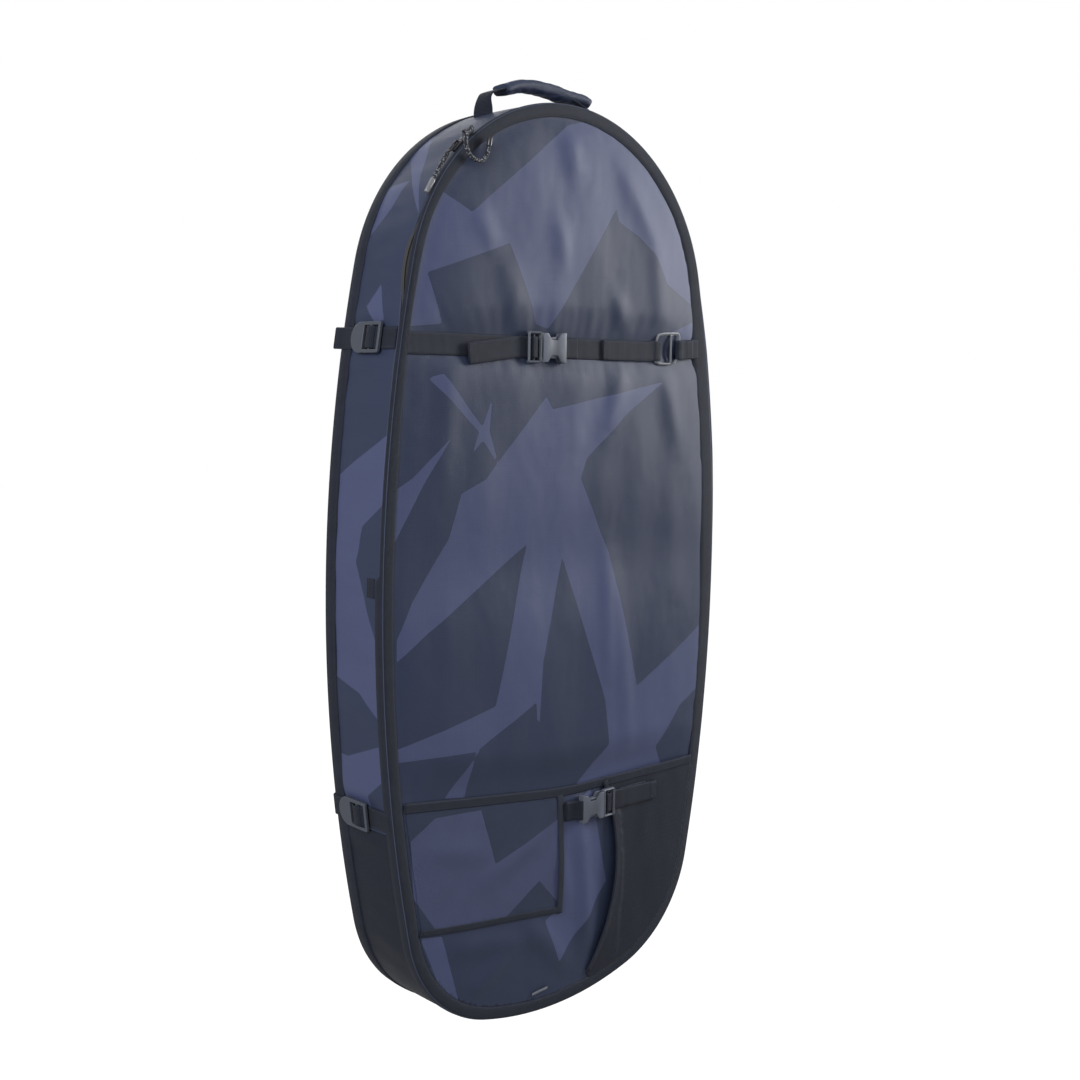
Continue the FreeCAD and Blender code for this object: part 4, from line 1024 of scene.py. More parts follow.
def make_bindings():
    line = outline(0, GIRTH, 5 * MM)
    sections = []
    for z, s in line[:, [1, 4]]:
        below = float(smooth_step(-z, -FOLD_Z - 4 * MM, -FOLD_Z + 4 * MM))
        uneven = 0.5 * noise.noise(Vector((s / 0.05, 0.0, 4.0)))
        sections.append(binding_section(at_length(FACE_WIDTHS, s) + uneven, 5.2 + 7.5 * below,
                                        1.5 + 0.25 * uneven, proud=at_length(PROUD_EDGE, s)))
    front = binding_piece("front_binding", line, FRONT, -1, sections, "binding")
    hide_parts("lid_binding", "lower_front_binding")
    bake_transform(front)
    sections = [binding_section(15 + 0.5 * noise.noise(Vector((s / 0.05, 7.0, 4.0))), 20, 1.4, proud=2.5)
                for s in line[:, 4]]
    place(binding_piece("back_edge_binding", line, BACK, 1, sections, "binding"),
          "shell", "binding", "back_binding")


# ---------------------------------------------------------------- zip
# How far the zip rises and moves back where it bulges out.
GAPE_RISE, GAPE_SHIFT = 4.5 * MM, 3.5 * MM
TOOTH_PITCH = 2.25 * MM
COIL_SIDES = 8


def edge_strip(name, line, section, material):
    """Carries a closed section of (inset, y) points along the edge."""
    rows = []
    for x, z, nx, nz, s in line:
        inset = section[:, 0] - GAPE_RISE * gape(z, s)
        back = section[:, 1] + GAPE_SHIFT * gape(z, s)
        rows.append(np.column_stack([x - inset * nx, back, z - inset * nz]))
    weave = [np.column_stack([np.full(len(section), s), section[:, 1]]) for s in line[:, 4]]
    return loft(name, rows, material, weave)


def make_zip():
    """Two tapes under the edges, and two rows of coil that mesh at the chain's middle."""
    start = length_at(FOLD_Z + 1 * MM)
    chain_y = (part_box("zip_chain_lid")[0].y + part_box("zip_chain_body")[1].y) / 2
    for side, body, sign, reach in (("lid", "lid", -1, 7.4), ("body", "shell", 1, 11)):
        line = outline(start, GIRTH - start, 6 * MM)
        low, high = chain_y + sign * 0.8 * MM, chain_y + sign * reach * MM
        strip = np.array([(5.2 * MM, low), (5.2 * MM, high), (4.6 * MM, high), (4.6 * MM, low)])
        ribbon = edge_strip("zip_ribbon_" + side, line, strip, "zip_tape")
        place(ribbon, body, "zip_tape", "zip_tape_" + side)
        line = outline(start, GIRTH - start, 0.75 * MM)
        turns = np.linspace(0, 2 * math.pi, COIL_SIDES, endpoint=False)
        phase = 0 if side == "lid" else math.pi
        rows = []
        for x, z, nx, nz, s in line:
            swell = 0.5 + 0.5 * math.cos(2 * math.pi * s / TOOTH_PITCH + phase)
            radius = (0.95 + 0.55 * swell) * MM
            shift = sign * (1.45 - 0.35 * swell) * MM
            inset = 3.5 * MM - radius * np.cos(turns) - GAPE_RISE * gape(z, s)
            back = chain_y + shift + radius * np.sin(turns) + GAPE_SHIFT * gape(z, s)
            rows.append(np.column_stack([x - inset * nx, back, z - inset * nz]))
        weave = np.zeros((len(rows), COIL_SIDES, 2))
        obj = loft("zip_teeth_" + side, rows, "coil", weave)
        set_vectors(obj.data, "weave", coordinates(obj))
        place(obj, body, "zip_coil", "zip_chain_" + side)


def hard_copies(nodes, material, slot, bevel=0):
    """Own copies of CAD nodes on the same bodies, with bevelled edges or melted smooth."""
    made = {}
    for node in nodes:
        obj = own_copy(node, node + "_part", material, bevel)
        if not bevel:
            obj = cast(node + "_part", [obj], material)
        place(obj, frame["nodes"][node]["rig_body"], slot, node)
        made[node] = obj
    return made


def bar(points, across, width, thick):
    """A rounded bar through points in millimetres; across is its width's direction."""
    path = smooth_line(np.array(points, float) * MM, 1.2 * MM)
    return sweep("bar", path, across, ribbon_section(width * MM, thick * MM, 2), "plastic")


def cast(name, bars, material):
    """Bars melted into one smooth moulding."""
    obj = joined(name, bars)
    obj.data.materials.clear()
    obj.data.materials.append(MATERIALS[material])
    add_modifier(obj, "REMESH", mode="VOXEL", voxel_size=0.45 * MM)
    bake(obj)
    add_modifier(obj, "SMOOTH", factor=0.6, iterations=6)
    bake(obj)
    obj.data.materials.clear()
    obj.data.materials.append(MATERIALS[material])
    set_vectors(obj.data, "weave", coordinates(obj))
    return obj


def make_plug(name, end_x, back, level, ahead):
    """The plug's webbing ladder and tongue; ahead is +1 where it points to the right."""
    def spot(u, v, w):
        return (end_x + ahead * u, back - w, level + v)

    bars = [bar([spot(1.5, v, 4.4), spot(21, v, 4.4)], (0, 1, 0), 6.4, 3.4) for v in (-17, 17)]
    for u, w, wide, thick in ((1.8, 5.8, 3.4, 4.6), (11, 3.8, 3.4, 3.0), (20.2, 4.5, 3.6, 7.2)):
        bars.append(bar([spot(u, -17, w), spot(u, 0, w), spot(u, 17, w)], (1, 0, 0), wide, thick))
    bars.append(bar([spot(20, 0, 4.7), spot(47, 0, 4.7)], (0, 0, 1), 7, 4))
    return cast(name, bars, "plastic")


def make_hook():
    """The flat hook: a closed loop, and an arm that turns round an open gap."""
    low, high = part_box("g_hook")
    left, right = low.x / MM + 3.5, high.x / MM - 2.5
    y = (low.y + high.y) / 2 / MM
    level = (low.z + high.z) / 2 / MM + rise(right)
    inner = left + 27
    flat = (0, 1, 0)
    bars = [
        bar([(left, y, level - 14), (left, y, level), (left, y, level + 14)], flat, 3, 3.6),
        bar([(left, y, level + 13), (left + 3, y, level + 17.6), (left + 12, y, level + 19.6),
             (right - 6, y, level + 20.6), (right - 0.6, y, level + 18.8), (right, y, level + 13),
             (right, y, level - 3), (right - 4, y, level - 11), (right - 9.5, y, level - 18)], flat, 3, 4.2),
        bar([(left, y, level - 13), (left + 3, y, level - 17.6), (left + 12, y, level - 18.6),
             (inner, y, level - 18.6)], flat, 3, 3.8),
        bar([(inner + 0.5, y, level + 18), (inner + 0.2, y, level), (inner, y, level - 17)], flat, 3.4, 3.8)]
    return cast("flat_hook", bars, "hook_metal")


# How far from the buckle's middle line an arm's thumb press begins; past it, it is drawn in.
THUMB = 9.2 * MM


def make_buckles():
    for name, ahead in (("upper", 1), ("lower", -1)):
        node = name + "_buckle_plug"
        low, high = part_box(node)
        end_x = (low.x if ahead > 0 else high.x) / MM
        plug = make_plug(node + "_part", end_x, high.y / MM, (low.z + high.z) / 2 / MM, ahead)
        place(plug, name + "_plug", "plastic", node)
        socket = hard_copies([name + "_buckle_socket"], "plastic", "plastic", 1.2)
        arms = hard_copies([name + "_buckle_arm_" + end for end in ("top", "bottom")],
                           "plastic", "plastic", 0.9)
        level = (low.z + high.z) / 2
        for obj in (*socket.values(), *arms.values()):
            co = coordinates(obj)
            along = ahead * (co[:, 0] / MM - end_x)
            off = co[:, 2] - level
            if obj in arms.values():
                past = np.clip(np.abs(off) - THUMB, 0, None)
                off -= np.sign(off) * 0.45 * past
            else:
                off *= 1 - 0.2 * np.exp(-((along - 41) / 5) ** 2) + 0.06 * smooth_step(along, 50, 60)
            co[:, 2] = level + off
            set_coordinates(obj, co)


# ---------------------------------------------------------------- cords
CORD_WIDTH = 5 * MM
CORD_SIDES = 14
LEFT_ROUTE = [(-185.5, -46, -93), (-191.5, -48, -100), (-197.5, -50, -107.5), (-203.5, -51, -116),
              (-209, -50.5, -125)]
RIGHT_ROUTE = [(-161, -60, -63), (-169.5, -60.5, -70), (-172, -61, -81), (-167.5, -61, -91.5),
               (-158, -61, -98.5), (-147, -61, -98.5), (-139, -61, -91), (-137, -61, -80)]


def nurbs_points(route):
    """Points along the NURBS line whose control points are the route's."""
    curve = bpy.data.curves.new("route", "CURVE")
    curve.dimensions = "3D"
    spline = curve.splines.new("NURBS")
    spline.points.add(len(route) - 1)
    for control, place_mm in zip(spline.points, route):
        control.co = (*(MM * value for value in place_mm), 1)
    spline.order_u = 3
    spline.use_endpoint_u = True
    spline.resolution_u = 12
    obj = bpy.data.objects.new("route", curve)
    scene.collection.objects.link(obj)
    graph = bpy.context.evaluated_depsgraph_get()
    mesh = bpy.data.meshes.new_from_object(obj.evaluated_get(graph), depsgraph=graph)
    points = np.array([v.co for v in mesh.vertices])
    bpy.data.objects.remove(obj)
    bpy.data.meshes.remove(mesh)
    return points


def make_cords():
    """The two pull cords, each a braided cord with a glossy sleeve on its end."""
    for side, route, length, sleeve in (("left", LEFT_ROUTE, 40.2, 16), ("right", RIGHT_ROUTE, 76.6, 9)):
        points = nurbs_points(route)
        tube = sweep("pull_braid_" + side, points, (0.3, 1, 0.2),
                     round_section(CORD_WIDTH / 2, CORD_SIDES), "cord")
        turns = np.linspace(0, 2 * math.pi, CORD_SIDES, endpoint=False) * CORD_WIDTH / 2
        weave = vectors(tube.data, "weave")
        weave[:, 1] = np.tile(turns, len(points))
        set_vectors(tube.data, "weave", weave)
        place(tube, "pull_" + side, "cord", "pull_cord_" + side)
        ahead = Vector(points[-1] - points[-2]).normalized()
        marks = [(-1.5, 2.65), (-1.2, 2.95), (0, 3.1), (sleeve * 0.5, 2.95), (sleeve - 1.2, 3.0),
                 (sleeve - 0.3, 2.7), (sleeve, 2.0)]
        path = [points[-1] + np.array(ahead) * mark * MM for mark, _ in marks]
        sections = np.array([round_section(radius * MM, 16) for _, radius in marks])
        tip = sweep("pull_sleeve_" + side, path, (0.3, 1, 0.2), sections, "cord_end_" + side)
        set_vectors(tip.data, "weave", coordinates(tip))
        place(tip, "pull_" + side, "cord_end", "pull_tip_" + side)


# ---------------------------------------------------------------- webbing on the front
WEB = 25


class Surface:
    """Finds how far out a piece stands at a place on the front."""

    def __init__(self, *objects):
        self.trees = []
        for obj in objects:
            graph = bpy.context.evaluated_depsgraph_get()
            self.trees.append(BVHTree.FromObject(obj, graph))

    def y(self, x, z):
        found = [FRONT]
        for tree in self.trees:
            hit = tree.ray_cast(Vector((x, -0.3, z)), Vector((0, 1, 0)))[0]
            if hit:
                found.append(hit.y)
        return min(found)

    def under(self, x, z, half):
        """The highest place under a strap's width."""
        return min(self.y(x, z + k * half) for k in (-0.9, -0.3, 0.3, 0.9))


def rise(x):
    """How much higher the upper strap runs towards its right end."""
    return 0.055 * max(0, x - 130)


def laid(surface, start, end, level, slope=0, layer=0, rising=0):
    """Path points, in millimetres, of webbing that lies on the front from one x to another."""
    count = max(2, int(abs(end - start) / 7))
    points = []
    for x in np.linspace(start, end, count + 1):
        z = level + slope * (x - start) + rising * rise(x)
        y = surface.under(x * MM, z * MM, WEB / 2 * MM) / MM - 0.95 - layer * 1.65
        points.append((x, y, z))
    return points


def webbing(name, points, material="webbing", across=(0, 0, 1), width=WEB, thick=1.5, hems=(0, 0)):
    """A ribbon through given points in millimetres; hems doubles its ends over a length.

    across is its width's direction, or a function that gives it at a place.
    """
    path = smooth_line(np.array(points) * MM, 2 * MM)
    if callable(across):
        across = np.array([across(*point) for point in path])
    steps = np.linalg.norm(np.diff(path, axis=0), axis=1)
    along = np.concatenate([[0], np.cumsum(steps)])
    sections = []
    for mark in along:
        double = (hems[0] and mark < hems[0] * MM) or (hems[1] and along[-1] - mark < hems[1] * MM)
        sections.append(ribbon_section(width * MM, thick * MM * (1.9 if double else 1)))
    return sweep(name, path, across, np.array(sections), material)


def make_front_straps(surface, lower_surface):
    plug_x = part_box("upper_buckle_plug")[0].x / MM
    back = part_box("upper_buckle_plug")[1].y / MM
    level = UPPER_STRAP
    # Round a bar: how far along the strap, and how far out.
    loop = [(-4, 0.3), (4, 0.2), (10.5, 0.2), (14.4, 1.0), (15.8, 3.0), (15.3, 5.5), (13.2, 6.9),
            (10.8, 7.1), (8.4, 6.8), (6.4, 5.3), (5.2, 3.4), (2.5, 1.9), (-4, 1.9)]

    # Upper left: from the binding under the plug, round its middle bar, and the tail back on top.
    points = [(-252, FRONT / MM + 0.2, level), (-246, FRONT / MM - 0.5, level)]
    points += laid(surface, -236, plug_x - 12, level)
    points += [(plug_x + u, back - w, level) for u, w in loop]
    tail = laid(surface, plug_x - 16, -165, level - 0.5, 0.13, 1)
    piece = webbing("upper_webbing_left", points + tail, hems=(0, 11))
    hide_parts("upper_strap_left")
    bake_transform(piece)

    # Upper right: sewn round the socket's head, round the hook's bar, and the tail back on top.
    socket_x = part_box("upper_buckle_socket")[1].x / MM
    hook_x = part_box("g_hook")[0].x / MM
    points = [(socket_x + 26, back - 0.4, level), (socket_x + 10, back - 1.2, level),
              (socket_x + 3.5, back - 5, level), (socket_x + 0.5, back - 8.3, level),
              (socket_x - 2.6, back - 7.6, level), (socket_x - 3.6, back - 4, level),
              (socket_x - 2.2, back - 0.6, level), (socket_x + 4, back + 0.4, level)]
    points += laid(surface, socket_x + 14, hook_x - 6, level, rising=1)
    high = level + rise(hook_x)
    points += [(hook_x + 3, -57.0, high), (hook_x + 8.2, -58.4, high), (hook_x + 8.8, -60.6, high),
               (hook_x + 6, -62.4, high), (hook_x + 1, -62.6, high), (hook_x - 4, -60.6, high)]
    points += laid(surface, hook_x - 12, 53, level, layer=1.2, rising=1)
    place(webbing("upper_webbing_right", points, hems=(20, 11)), "lid", "webbing", "upper_strap_right")

    # The hook's sewn anchor, from the right edge round its right bar.
    edge = 238
    bar_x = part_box("g_hook")[1].x / MM - 4
    high = level + rise(bar_x)
    points = laid(surface, edge, bar_x + 4, level, rising=1)
    points += [(bar_x, -57.2, high), (bar_x - 4, -58.6, high), (bar_x - 4.4, -61, high),
               (bar_x - 1, -63.2, high), (bar_x + 3, -63.0, high), (bar_x + 8, -60.4, high + 0.4)]
    points += laid(surface, bar_x + 14, bar_x + 30, high + 0.6, 0.055, 1.1)
    place(webbing("hook_loop", points, "sewn", hems=(0, 12)), "lid", "webbing", "hook_anchor")

    # Lower strap, over the pocket.
    level = LOWER_STRAP
    socket_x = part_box("lower_buckle_socket")[0].x / MM
    plug_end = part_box("lower_buckle_plug")[1].x / MM
    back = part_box("lower_buckle_plug")[1].y / MM
    points = [(2, back + 2.2, level), (socket_x - 12, back + 1.2, level), (socket_x - 4, back - 0.6, level),
              (socket_x + 2.2, back - 0.6, level), (socket_x + 3.6, back - 4, level),
              (socket_x + 2.6, back - 7.6, level), (socket_x - 0.5, back - 8.3, level),
              (socket_x - 3.5, back - 5, level), (socket_x - 9, back - 1.6, level), (4, back + 0.6, level)]
    place(webbing("lower_webbing_left", points, hems=(0, 14)), "shell", "webbing", "lower_strap_left")
    points = laid(lower_surface, 150, plug_end + 12, level)
    points += [(plug_end - u, back - w, level) for u, w in loop]
    points += laid(lower_surface, plug_end + 16, 169, level - 1, -0.02, 1)
    piece = webbing("lower_webbing_right", points, hems=(0, 11))
    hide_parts("lower_strap_right")
    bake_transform(piece)


# ---------------------------------------------------------------- flank straps
def flank_point(side, level, y, out):
    """A point off the shell's edge: side is -1 for the left flank, out is along its normal."""
    x = half_at(level * MM) / MM
    angle = math.asin((level * MM - WAIST_Z) / SIDE)
    return (side * (x + out * math.cos(angle)), y, level + out * math.sin(angle))


LOCK_TAB = 19


def make_flank_straps():
    for name, level in FLANK_LEVELS.items():
        for title, side in (("left", -1), ("right", 1)):
            low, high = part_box("ladder_lock_%s_%s" % (name, title))
            middle = (low.y + high.y) / 2 / MM - LOCK_TAB / 2
            across = Vector(flank_point(side, level + 1, 0, 0)) - Vector(flank_point(side, level, 0, 0))

            def spot(y, out):
                return flank_point(side, level, y, out)

            first = [spot(-46 if name == "upper" else -50, 0.6), spot(-40, 1.2)]
            first += [spot(middle + y, out) for y, out in
                      ((-22, 1.4), (-15, 1.2), (-12, 2.6), (-10.5, 5.2), (-8.6, 6.6), (-6.8, 5.2),
                       (-6.4, 2.6), (-8, 0.9))]
            fixed = webbing("flank_anchor_%s_%s" % (name, title), first, "sewn", across)
            place(fixed, "shell", "webbing")
            points = [spot(BACK / MM - 5, 1.4), spot(BACK / MM - 14, 1.2), spot(middle + 22, 1.2),
                      spot(middle + 6, 1.2), spot(middle - 3.5, 1.8), spot(middle - 7.4, 4.0),
                      spot(middle - 6.6, 7.6), spot(middle - 3, 9.3), spot(middle + 1, 9.4),
                      spot(middle + 5, 8.6), spot(middle + 8, 5.4), spot(middle + 12, 3.1),
                      spot(middle + 24, 3.0)]
            if name == "upper":
                points += [spot(44, 3.4), spot(54, 4.6), spot(62, 6.2)]
            else:
                points += [spot(BACK / MM - 4, 3.6), spot(BACK / MM + 1.5, 2.6), spot(BACK / MM + 3.2, -2),
                           spot(BACK / MM + 3.4, -16), spot(BACK / MM + 3.4, -30)]
            load = webbing("flank_webbing_%s_%s" % (name, title), points, "webbing", across, hems=(0, 9))
            if name == "upper" and title == "left":
                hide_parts("flank_webbing")
            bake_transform(load)


# ---------------------------------------------------------------- handle
# The grip's two ends, as angles along the handle's arch.
GRIP_SPAN = np.radians((-17, 22))
# Radii of the webbing's arch, of the grip's inner side and of the grip's middle, in millimetres.
ARCH, GRIP_INSIDE, GRIP_MIDDLE = 207, 198, 208
# How far the handle's middle lies to the left of the point that it hangs by.
HANDLE_SHIFT = 8


def make_handle():
    low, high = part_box("handle_webbing")
    left, right = low.x / MM, high.x / MM
    middle = (left + right) / 2
    centre = -math.sqrt(GRIP_INSIDE ** 2 - HANDLE_SHIFT ** 2)
    arch = [(middle + ARCH * math.sin(t), 0, centre + ARCH * math.cos(t))
            for t in np.radians(np.linspace(-21, 21, 12))]
    legs_left = [(left - 0.5, 0, -40), (left - 0.2, 0, -28), (left + 0.5, 0, -16), (left + 4, 0, -8.5)]
    legs_right = [(2 * middle - x, y, z) for x, y, z in reversed(legs_left)]

    def leaning(x, _, z):
        lean = -0.42 * float(smooth_step(-z, 10 * MM, 30 * MM)) if x < 0 else 0
        return (lean, 1, 0)

    piece = webbing("handle_strap", legs_left + arch + legs_right, "webbing", leaning, thick=2)
    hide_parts("handle_webbing", "handle_anchors")
    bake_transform(piece)
    grip = puffed("handle_grip", "grip_pad", "printed", voxel=3.5, shrink=2.2, pressure=3.0, cap=4.5)
    co = coordinates(grip)
    turn = np.arctan2(co[:, 0] - middle * MM, co[:, 2] - centre * MM)
    reach = np.hypot(co[:, 0] - middle * MM, co[:, 2] - centre * MM)
    first, last = turn.min(), turn.max()
    turn = GRIP_SPAN[0] + (turn - first) / (last - first) * (GRIP_SPAN[1] - GRIP_SPAN[0])
    reach += 7.5 * MM * smooth_step(turn, np.radians(9), GRIP_SPAN[1])
    reach -= 2.5 * MM * smooth_step(-turn, np.radians(9), -GRIP_SPAN[0])
    along = turn * GRIP_MIDDLE * MM
    co[:, 0] = middle * MM + reach * np.sin(turn)
    co[:, 2] = centre * MM + reach * np.cos(turn)
    lift = np.zeros(len(co))
    for length, width, seed, height in ((0.012, 0.05, 1.0, 0.9), (0.035, 0.02, 5.0, 1.1)):
        lift += [height * MM * noise.noise(Vector((a / length, y / width, seed)))
                 for a, y in zip(along, co[:, 1])]
    scale = (reach + lift) / reach
    co[:, 0] = middle * MM + (co[:, 0] - middle * MM) * scale
    co[:, 2] = centre * MM + (co[:, 2] - centre * MM) * scale
    set_coordinates(grip, co)
    weave = np.column_stack([along, co[:, 1] + (reach - 0.2)])
    set_vectors(grip.data, "weave", weave)
    paint(grip, (((-60, -8), (-10, -3), (30, -12), (10, 3), (-20, 9)), ((40, 20), (60, -5), (85, 20))),
          along, co[:, 1])
    place(grip, "handle", "printed_fabric", "handle_grip")


# ---------------------------------------------------------------- padded pieces
def puffed(node, name, material, voxel, shrink, pressure, cap):
    """A padded copy of a soft CAD solid, blown up a little by a cloth simulation."""
    obj = own_copy(node, name, material)
    add_modifier(obj, "REMESH", mode="VOXEL", voxel_size=voxel * MM)
    bake(obj)
    add_modifier(obj, "SMOOTH", factor=0.5, iterations=4)
    bake(obj)
    normals = np.zeros(len(obj.data.vertices) * 3)
    obj.data.vertex_normals.foreach_get("vector", normals)
    co = coordinates(obj) - shrink * MM * normals.reshape(-1, 3)
    set_coordinates(obj, co)
    cloth = add_modifier(obj, "CLOTH")
    cloth.settings.quality = 5
    cloth.settings.use_pressure = True
    cloth.settings.uniform_pressure_force = pressure
    cloth.settings.effector_weights.gravity = 0
    settle(obj, cloth, 20)
    moved = coordinates(obj) - co
    length = np.linalg.norm(moved, axis=1, keepdims=True) + 1e-9
    set_coordinates(obj, co + moved * np.minimum(1, cap * MM / length))
    return subdivide(obj)


# ---------------------------------------------------------------- pocket
# Levels of the pocket's mouth, and three points of the black cloth's free edge, in millimetres.
HEM_LEFT, HEM_MIDDLE, HEM_RIGHT = -825, -854, -858
FLAP_TOP, FLAP_BOW, FLAP_END = (72, -854), (89, -981), (47, -1108)


def patch(name, boundary, step, material):
    """A flat cloth inside a boundary of (x, z) points in millimetres, meshed evenly."""
    rim = smooth_steps(boundary, step)
    low, high = rim.min(axis=0), rim.max(axis=0)
    inner = []
    for row, z in enumerate(np.arange(low[1], high[1], step * 0.866)):
        for x in np.arange(low[0] + (row % 2) * step / 2, high[0], step):
            inner.append((x, z))
    inner = np.array(inner)
    gap = -signed_to(rim, inner)
    inner = inner[gap < -0.55 * step]
    points = [Vector(p) for p in np.vstack([rim, inner])]
    edges = [(i, (i + 1) % len(rim)) for i in range(len(rim))]
    verts, _, faces, _, _, _ = geometry.delaunay_2d_cdt(points, edges, [], 1, 1e-6)
    flat = np.array([(v.x, FRONT / MM, v.y) for v in verts]) * MM
    return mesh_piece(name, flat, [tuple(f) for f in faces], material, flat[:, [0, 2]])


def smooth_steps(boundary, step):
    """A closed boundary with points at even steps along its straight sides."""
    corners = np.array(boundary, float)
    points = []
    for a, b in zip(corners, np.roll(corners, -1, axis=0)):
        count = max(1, int(round(np.linalg.norm(b - a) / step)))
        points += [a + (b - a) * k / count for k in range(count)]
    return np.array(points)


def signed_to(rim, points):
    """Distance inside a closed rim, in the rim's own unit."""
    value = signed_distance((rim,), points[:, 0] * MM, points[:, 1] * MM)
    return value / MM


def edge_points(inset):
    """The x and the z, in millimetres, of points all round the shell, inside its edge."""
    line = outline(0, GIRTH, 8 * MM)
    x = (line[:, 0] - inset * MM * line[:, 2]) / MM
    z = (line[:, 1] - inset * MM * line[:, 3]) / MM
    return x, z


def quadratic(a, b, c, count=10):
    """An arc-like curve from a to c that passes b at its middle."""
    a, b, c = (np.array(p, float) for p in (a, b, c))
    control = 2 * b - (a + c) / 2
    t = np.linspace(0, 1, count)[:, None]
    return [tuple(p) for p in (1 - t) ** 2 * a + 2 * t * (1 - t) * control + t * t * c]


def hem_z(x):
    """The level of the pocket's mouth at an x, in millimetres."""
    left = half_at(HEM_LEFT * MM) / MM
    right = half_at(HEM_RIGHT * MM) / MM
    return np.interp(x, [-left, 0, right], [HEM_LEFT, HEM_MIDDLE, HEM_RIGHT])


def pocket_shapes():
    """Boundaries of the printed pocket cloth and of the black cloth beside it."""
    x, z = edge_points(15)
    half = len(x) // 2
    left = [(a, b) for a, b in zip(x[half:], z[half:]) if a < 0 and b < hem_z(a)]
    right = [(a, b) for a, b in zip(x[:half], z[:half]) if a > 0 and b < hem_z(a)]
    foot = [p for p in right if p[0] < 110]
    start = (left[0][0], hem_z(left[0][0]))
    printed = left + foot + [(105, -1060), (110, -981), (95, hem_z(95)), (0, HEM_MIDDLE), start]
    black = [p for p in right if p[0] > FLAP_END[0]]
    curve = quadratic(FLAP_END, FLAP_BOW, FLAP_TOP, 12)
    black = black + [(right[-1][0] + 0.5, HEM_RIGHT)] + list(reversed(curve))
    return printed, black


def make_pocket():
    printed, black = pocket_shapes()
    pocket = patch("pocket_cloth", printed, 6, "printed")
    co = coordinates(pocket)
    x, z = co[:, 0] / MM, co[:, 2] / MM
    inset, _, _ = edge_frame(co[:, 0], co[:, 2])
    depth = np.clip(hem_z(x) - z, 0, None)
    swell = 3.2 * (1 - np.exp(-np.clip(inset / MM - 18, 0, None) / 30)) * (1 - np.exp(-depth / 30))
    folds = fold_height(co[:, 0], co[:, 2], POCKET_FOLDS, 2.2, 1) / MM
    calm = np.clip(swell / 1.5, 0, 1)
    co[:, 1] = FRONT - (0.7 + swell + folds * calm) * MM - ripple(co, 0.03, 0.7 * MM) * calm
    set_coordinates(pocket, co)
    subdivide(pocket)
    pocket_top = Surface(pocket)
    thicken(pocket, 0.7, faces_front(pocket))
    co = coordinates(pocket)
    set_vectors(pocket.data, "weave", co[:, [0, 2]])
    paint(pocket, POCKET_SHARDS, co[:, 0], co[:, 2])
    place(pocket, "shell", "printed_fabric", "pocket_panel")

    side = patch("side_cloth", black, 6, "black")
    co = coordinates(side)
    lift, near = gape_lift(co[:, 0] / MM, co[:, 2] / MM)
    inset, _, _ = edge_frame(co[:, 0], co[:, 2])
    swell = 2.0 * (1 - np.exp(-np.clip(inset / MM - 18, 0, None) / 25))
    base = np.array([pocket_top.y(a, b) for a, b in zip(co[:, 0], co[:, 2])])
    co[:, 1] = np.minimum(base, FRONT - 1.0 * MM) - (0.9 + lift + swell * (1 - near)) * MM
    co[:, 1] -= ripple(co, 0.035, 0.9 * MM, (1.5, 1, 0.6)) * np.clip(swell, 0, 1)
    set_coordinates(side, co)
    subdivide(side)
    surface = Surface(pocket, side)
    thicken(side, 0.8, faces_front(side))
    set_vectors(side.data, "weave", coordinates(side)[:, [0, 2]])
    place(side, "shell", "black_fabric", "side_panel")
    make_pocket_trims(surface)
    return surface


def gape_lift(x, z):
    """How far the black cloth's free edge stands off the pocket, and how near it is."""
    t = np.clip((FLAP_TOP[1] - z) / (FLAP_TOP[1] - FLAP_END[1]), 0, 1)
    edge_x = np.interp(t, [0, 0.25, 0.5, 0.75, 1], [72, 85, 89, 78, 47])
    near = np.exp(-np.clip(x - edge_x, 0, None) / 26)
    lift = 7.5 * np.sin(math.pi * np.clip(t * 1.02, 0, 1)) ** 0.9 * near
    lift *= 1 - 0.9 * np.exp(-((z - LOWER_STRAP) / 20) ** 2)
    return lift, near


def trim(name, points, surface, lift, width, *nodes, thick=1.1):
    """A flat tape laid over the pocket's cloth through (x, z) points in millimetres."""
    flat = smooth_line(np.array(points, float) * MM, 5 * MM)
    heights = np.array([surface.under(x, z, width * MM / 2) for x, z in flat])
    kernel = np.array([1, 2, 3, 2, 1]) / 9
    padded_heights = np.pad(heights, 2, mode="edge")
    heights = np.minimum(np.convolve(padded_heights, kernel, mode="valid"), heights + 0.3 * MM)
    path = np.column_stack([flat[:, 0], heights - (thick / 2 + lift) * MM, flat[:, 1]])
    tangent = unit(np.gradient(path, axis=0))
    across = np.cross(tangent, (0, 1, 0))
    section = ribbon_section(width * MM, thick * MM, 4)
    place(sweep(name, path, across, section, "hem"), "shell", "binding", *nodes)


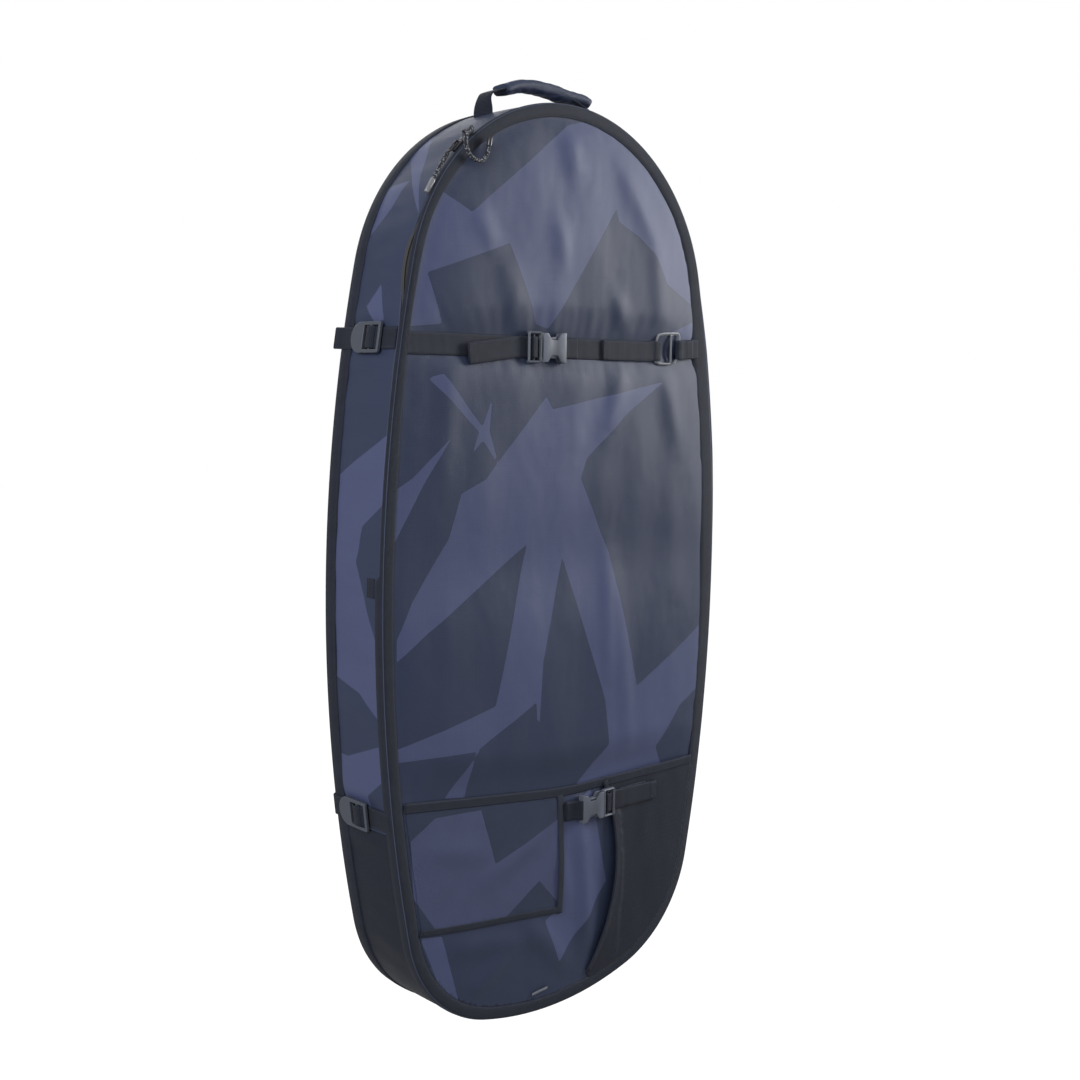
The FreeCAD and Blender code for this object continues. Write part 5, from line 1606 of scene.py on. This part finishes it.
def make_pocket_trims(surface):
    left = half_at(HEM_LEFT * MM, 17 * MM) / MM
    right = half_at(HEM_RIGHT * MM, 17 * MM) / MM
    trim("pocket_hem_tape", [(-left, HEM_LEFT), (-120, hem_z(-120)), (-1, HEM_MIDDLE), (80, hem_z(80)),
                             (160, hem_z(160) + 1), (right, HEM_RIGHT + 2)],
         surface, 0.1, 12, "pocket_hem")
    low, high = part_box("mesh_trim")
    edge_x = high.x / MM - 5
    foot = low.z / MM + 5
    left_foot = half_at(-977 * MM, 17 * MM) / MM
    trim("window_side_tape", [(edge_x, HEM_MIDDLE - 4), (edge_x + 0.6, -900), (edge_x, -950),
                              (edge_x, foot - 4)], surface, 0.2, 9.5, "mesh_trim")
    trim("window_foot_tape", [(edge_x + 4, foot), (-70, foot + 9), (-150, foot + 18),
                              (-left_foot, foot + 28)], surface, 0.35, 8)
    curve = quadratic((FLAP_END[0] + 3, FLAP_END[1] + 3), (FLAP_BOW[0] + 3.5, FLAP_BOW[1]),
                      (FLAP_TOP[0] + 3, FLAP_TOP[1]), 8)
    trim("side_edge_tape", curve, surface, 0.2, 8, "side_panel_trim", thick=1.8)
    window = patch("window_net", [(-left + 2, HEM_LEFT - 5), (edge_x, HEM_MIDDLE - 5), (edge_x, foot),
                                  (-left_foot + 2, foot + 27)], 7, "mesh")
    co = coordinates(window)
    co[:, 1] = [surface.y(x, z) - 0.45 * MM for x, z in zip(co[:, 0], co[:, 2])]
    set_coordinates(window, co)
    subdivide(window)
    co = coordinates(window)
    paint(window, POCKET_SHARDS, co[:, 0], co[:, 2])
    set_vectors(window.data, "weave", co[:, [0, 2]])
    place(window, "shell", "mesh", "mesh_window")
    low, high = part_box("sewn_tag")
    level = (low.z + high.z) / 2 / MM
    points = [(low.x / MM, -57.2, level - 1), (-36, -57.8, -1105), (high.x / MM, -57.4, level + 1)]
    place(webbing("foot_tag", points, "tag", width=3.2, thick=0.6), "shell", "tag", "sewn_tag")


# ---------------------------------------------------------------- harness
def make_harness():
    pad = puffed("lumbar_pad", "lumbar_cushion", "pad", voxel=5, shrink=3, pressure=3.5, cap=6)
    co = coordinates(pad)
    low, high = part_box("lumbar_pad")
    depth = np.clip((co[:, 1] - low.y) / (high.y - low.y), 0, 1)
    for channel in (-150, -50, 50, 150):
        co[:, 1] -= 3.5 * MM * np.exp(-((co[:, 0] / MM - channel) / 4) ** 2) * depth
    set_coordinates(pad, co)
    set_vectors(pad.data, "weave", co[:, [0, 2]])
    place(pad, "shell", "pad_fabric", "lumbar_pad")
    for side in ("left", "right"):
        node = "shoulder_strap_" + side
        strap = puffed(node, "shoulder_pad_" + side, "pad", voxel=4.5, shrink=2.5, pressure=3.5, cap=5)
        set_vectors(strap.data, "weave", coordinates(strap)[:, [0, 2]])
        place(strap, "shell", "pad_fabric", node)
        first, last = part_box("strap_adjuster_" + side)
        middle = (first.x + last.x) / 2 / MM
        lock = (first.z + last.z) / 2 / MM + 9.5
        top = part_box(node)[0].z / MM
        foot = high.z / MM
        y = BACK / MM + 1.5
        points = [(middle, y, foot - 4), (middle, y, lock - 12), (middle, y + 0.4, lock + 2),
                  (middle, y + 3, lock + 7.2), (middle, y + 6.5, lock + 6.4), (middle, y + 8, lock + 3),
                  (middle, y + 8, lock - 1), (middle, y + 7, lock - 6), (middle, y + 3.6, lock - 9),
                  (middle, y + 2, lock - 14), (middle, y + 2.2, foot + 2)]
        web = webbing("adjuster_webbing_" + side, points, "webbing", (1, 0, 0), hems=(0, 8))
        if side == "left":
            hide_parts("shoulder_webbing")
        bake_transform(web)
        points = [(middle, y + 4, top + 12), (middle, y + 2, top - 1), (middle, y + 2.4, lock + 16),
                  (middle, y + 5, lock + 11.5), (middle, y + 7.4, lock + 13), (middle, y + 7, lock + 18),
                  (middle, y + 6, top + 2), (middle, y + 8, top + 14)]
        place(webbing("adjuster_anchor_" + side, points, "sewn", (1, 0, 0)), "shell", "webbing")


# ---------------------------------------------------------------- run
camera()
make_cords()
studio()
front = make_front_panel()
make_back_panel()
make_gusset()
make_bindings()
make_zip()
pocket_surface = make_pocket()
make_front_straps(Surface(front), pocket_surface)
make_flank_straps()
make_handle()
make_harness()
hard_copies(["zip_slider_left", "zip_slider_right", "pull_link_left", "pull_link_right"],
            "dark_metal", "dark_metal", 0.35)
place(make_hook(), "hook", "hook_metal", "g_hook")
make_buckles()
for kind in ("ladder_lock", "adjuster"):
    hard_copies([node for node in frame["nodes"] if kind in node], "lock_plastic", "plastic")
tabs = own_copy("zip_end_tabs", "zip_end_tab_cloth", "hem", 0.5)
co = coordinates(tabs)
low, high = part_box("zip_end_tabs")
set_vectors(tabs.data, "weave", np.column_stack([co[:, 2], (co[:, 1] - (low.y + high.y) / 2) * 1.6]))
place(tabs, "shell", "binding", "zip_end_tabs")
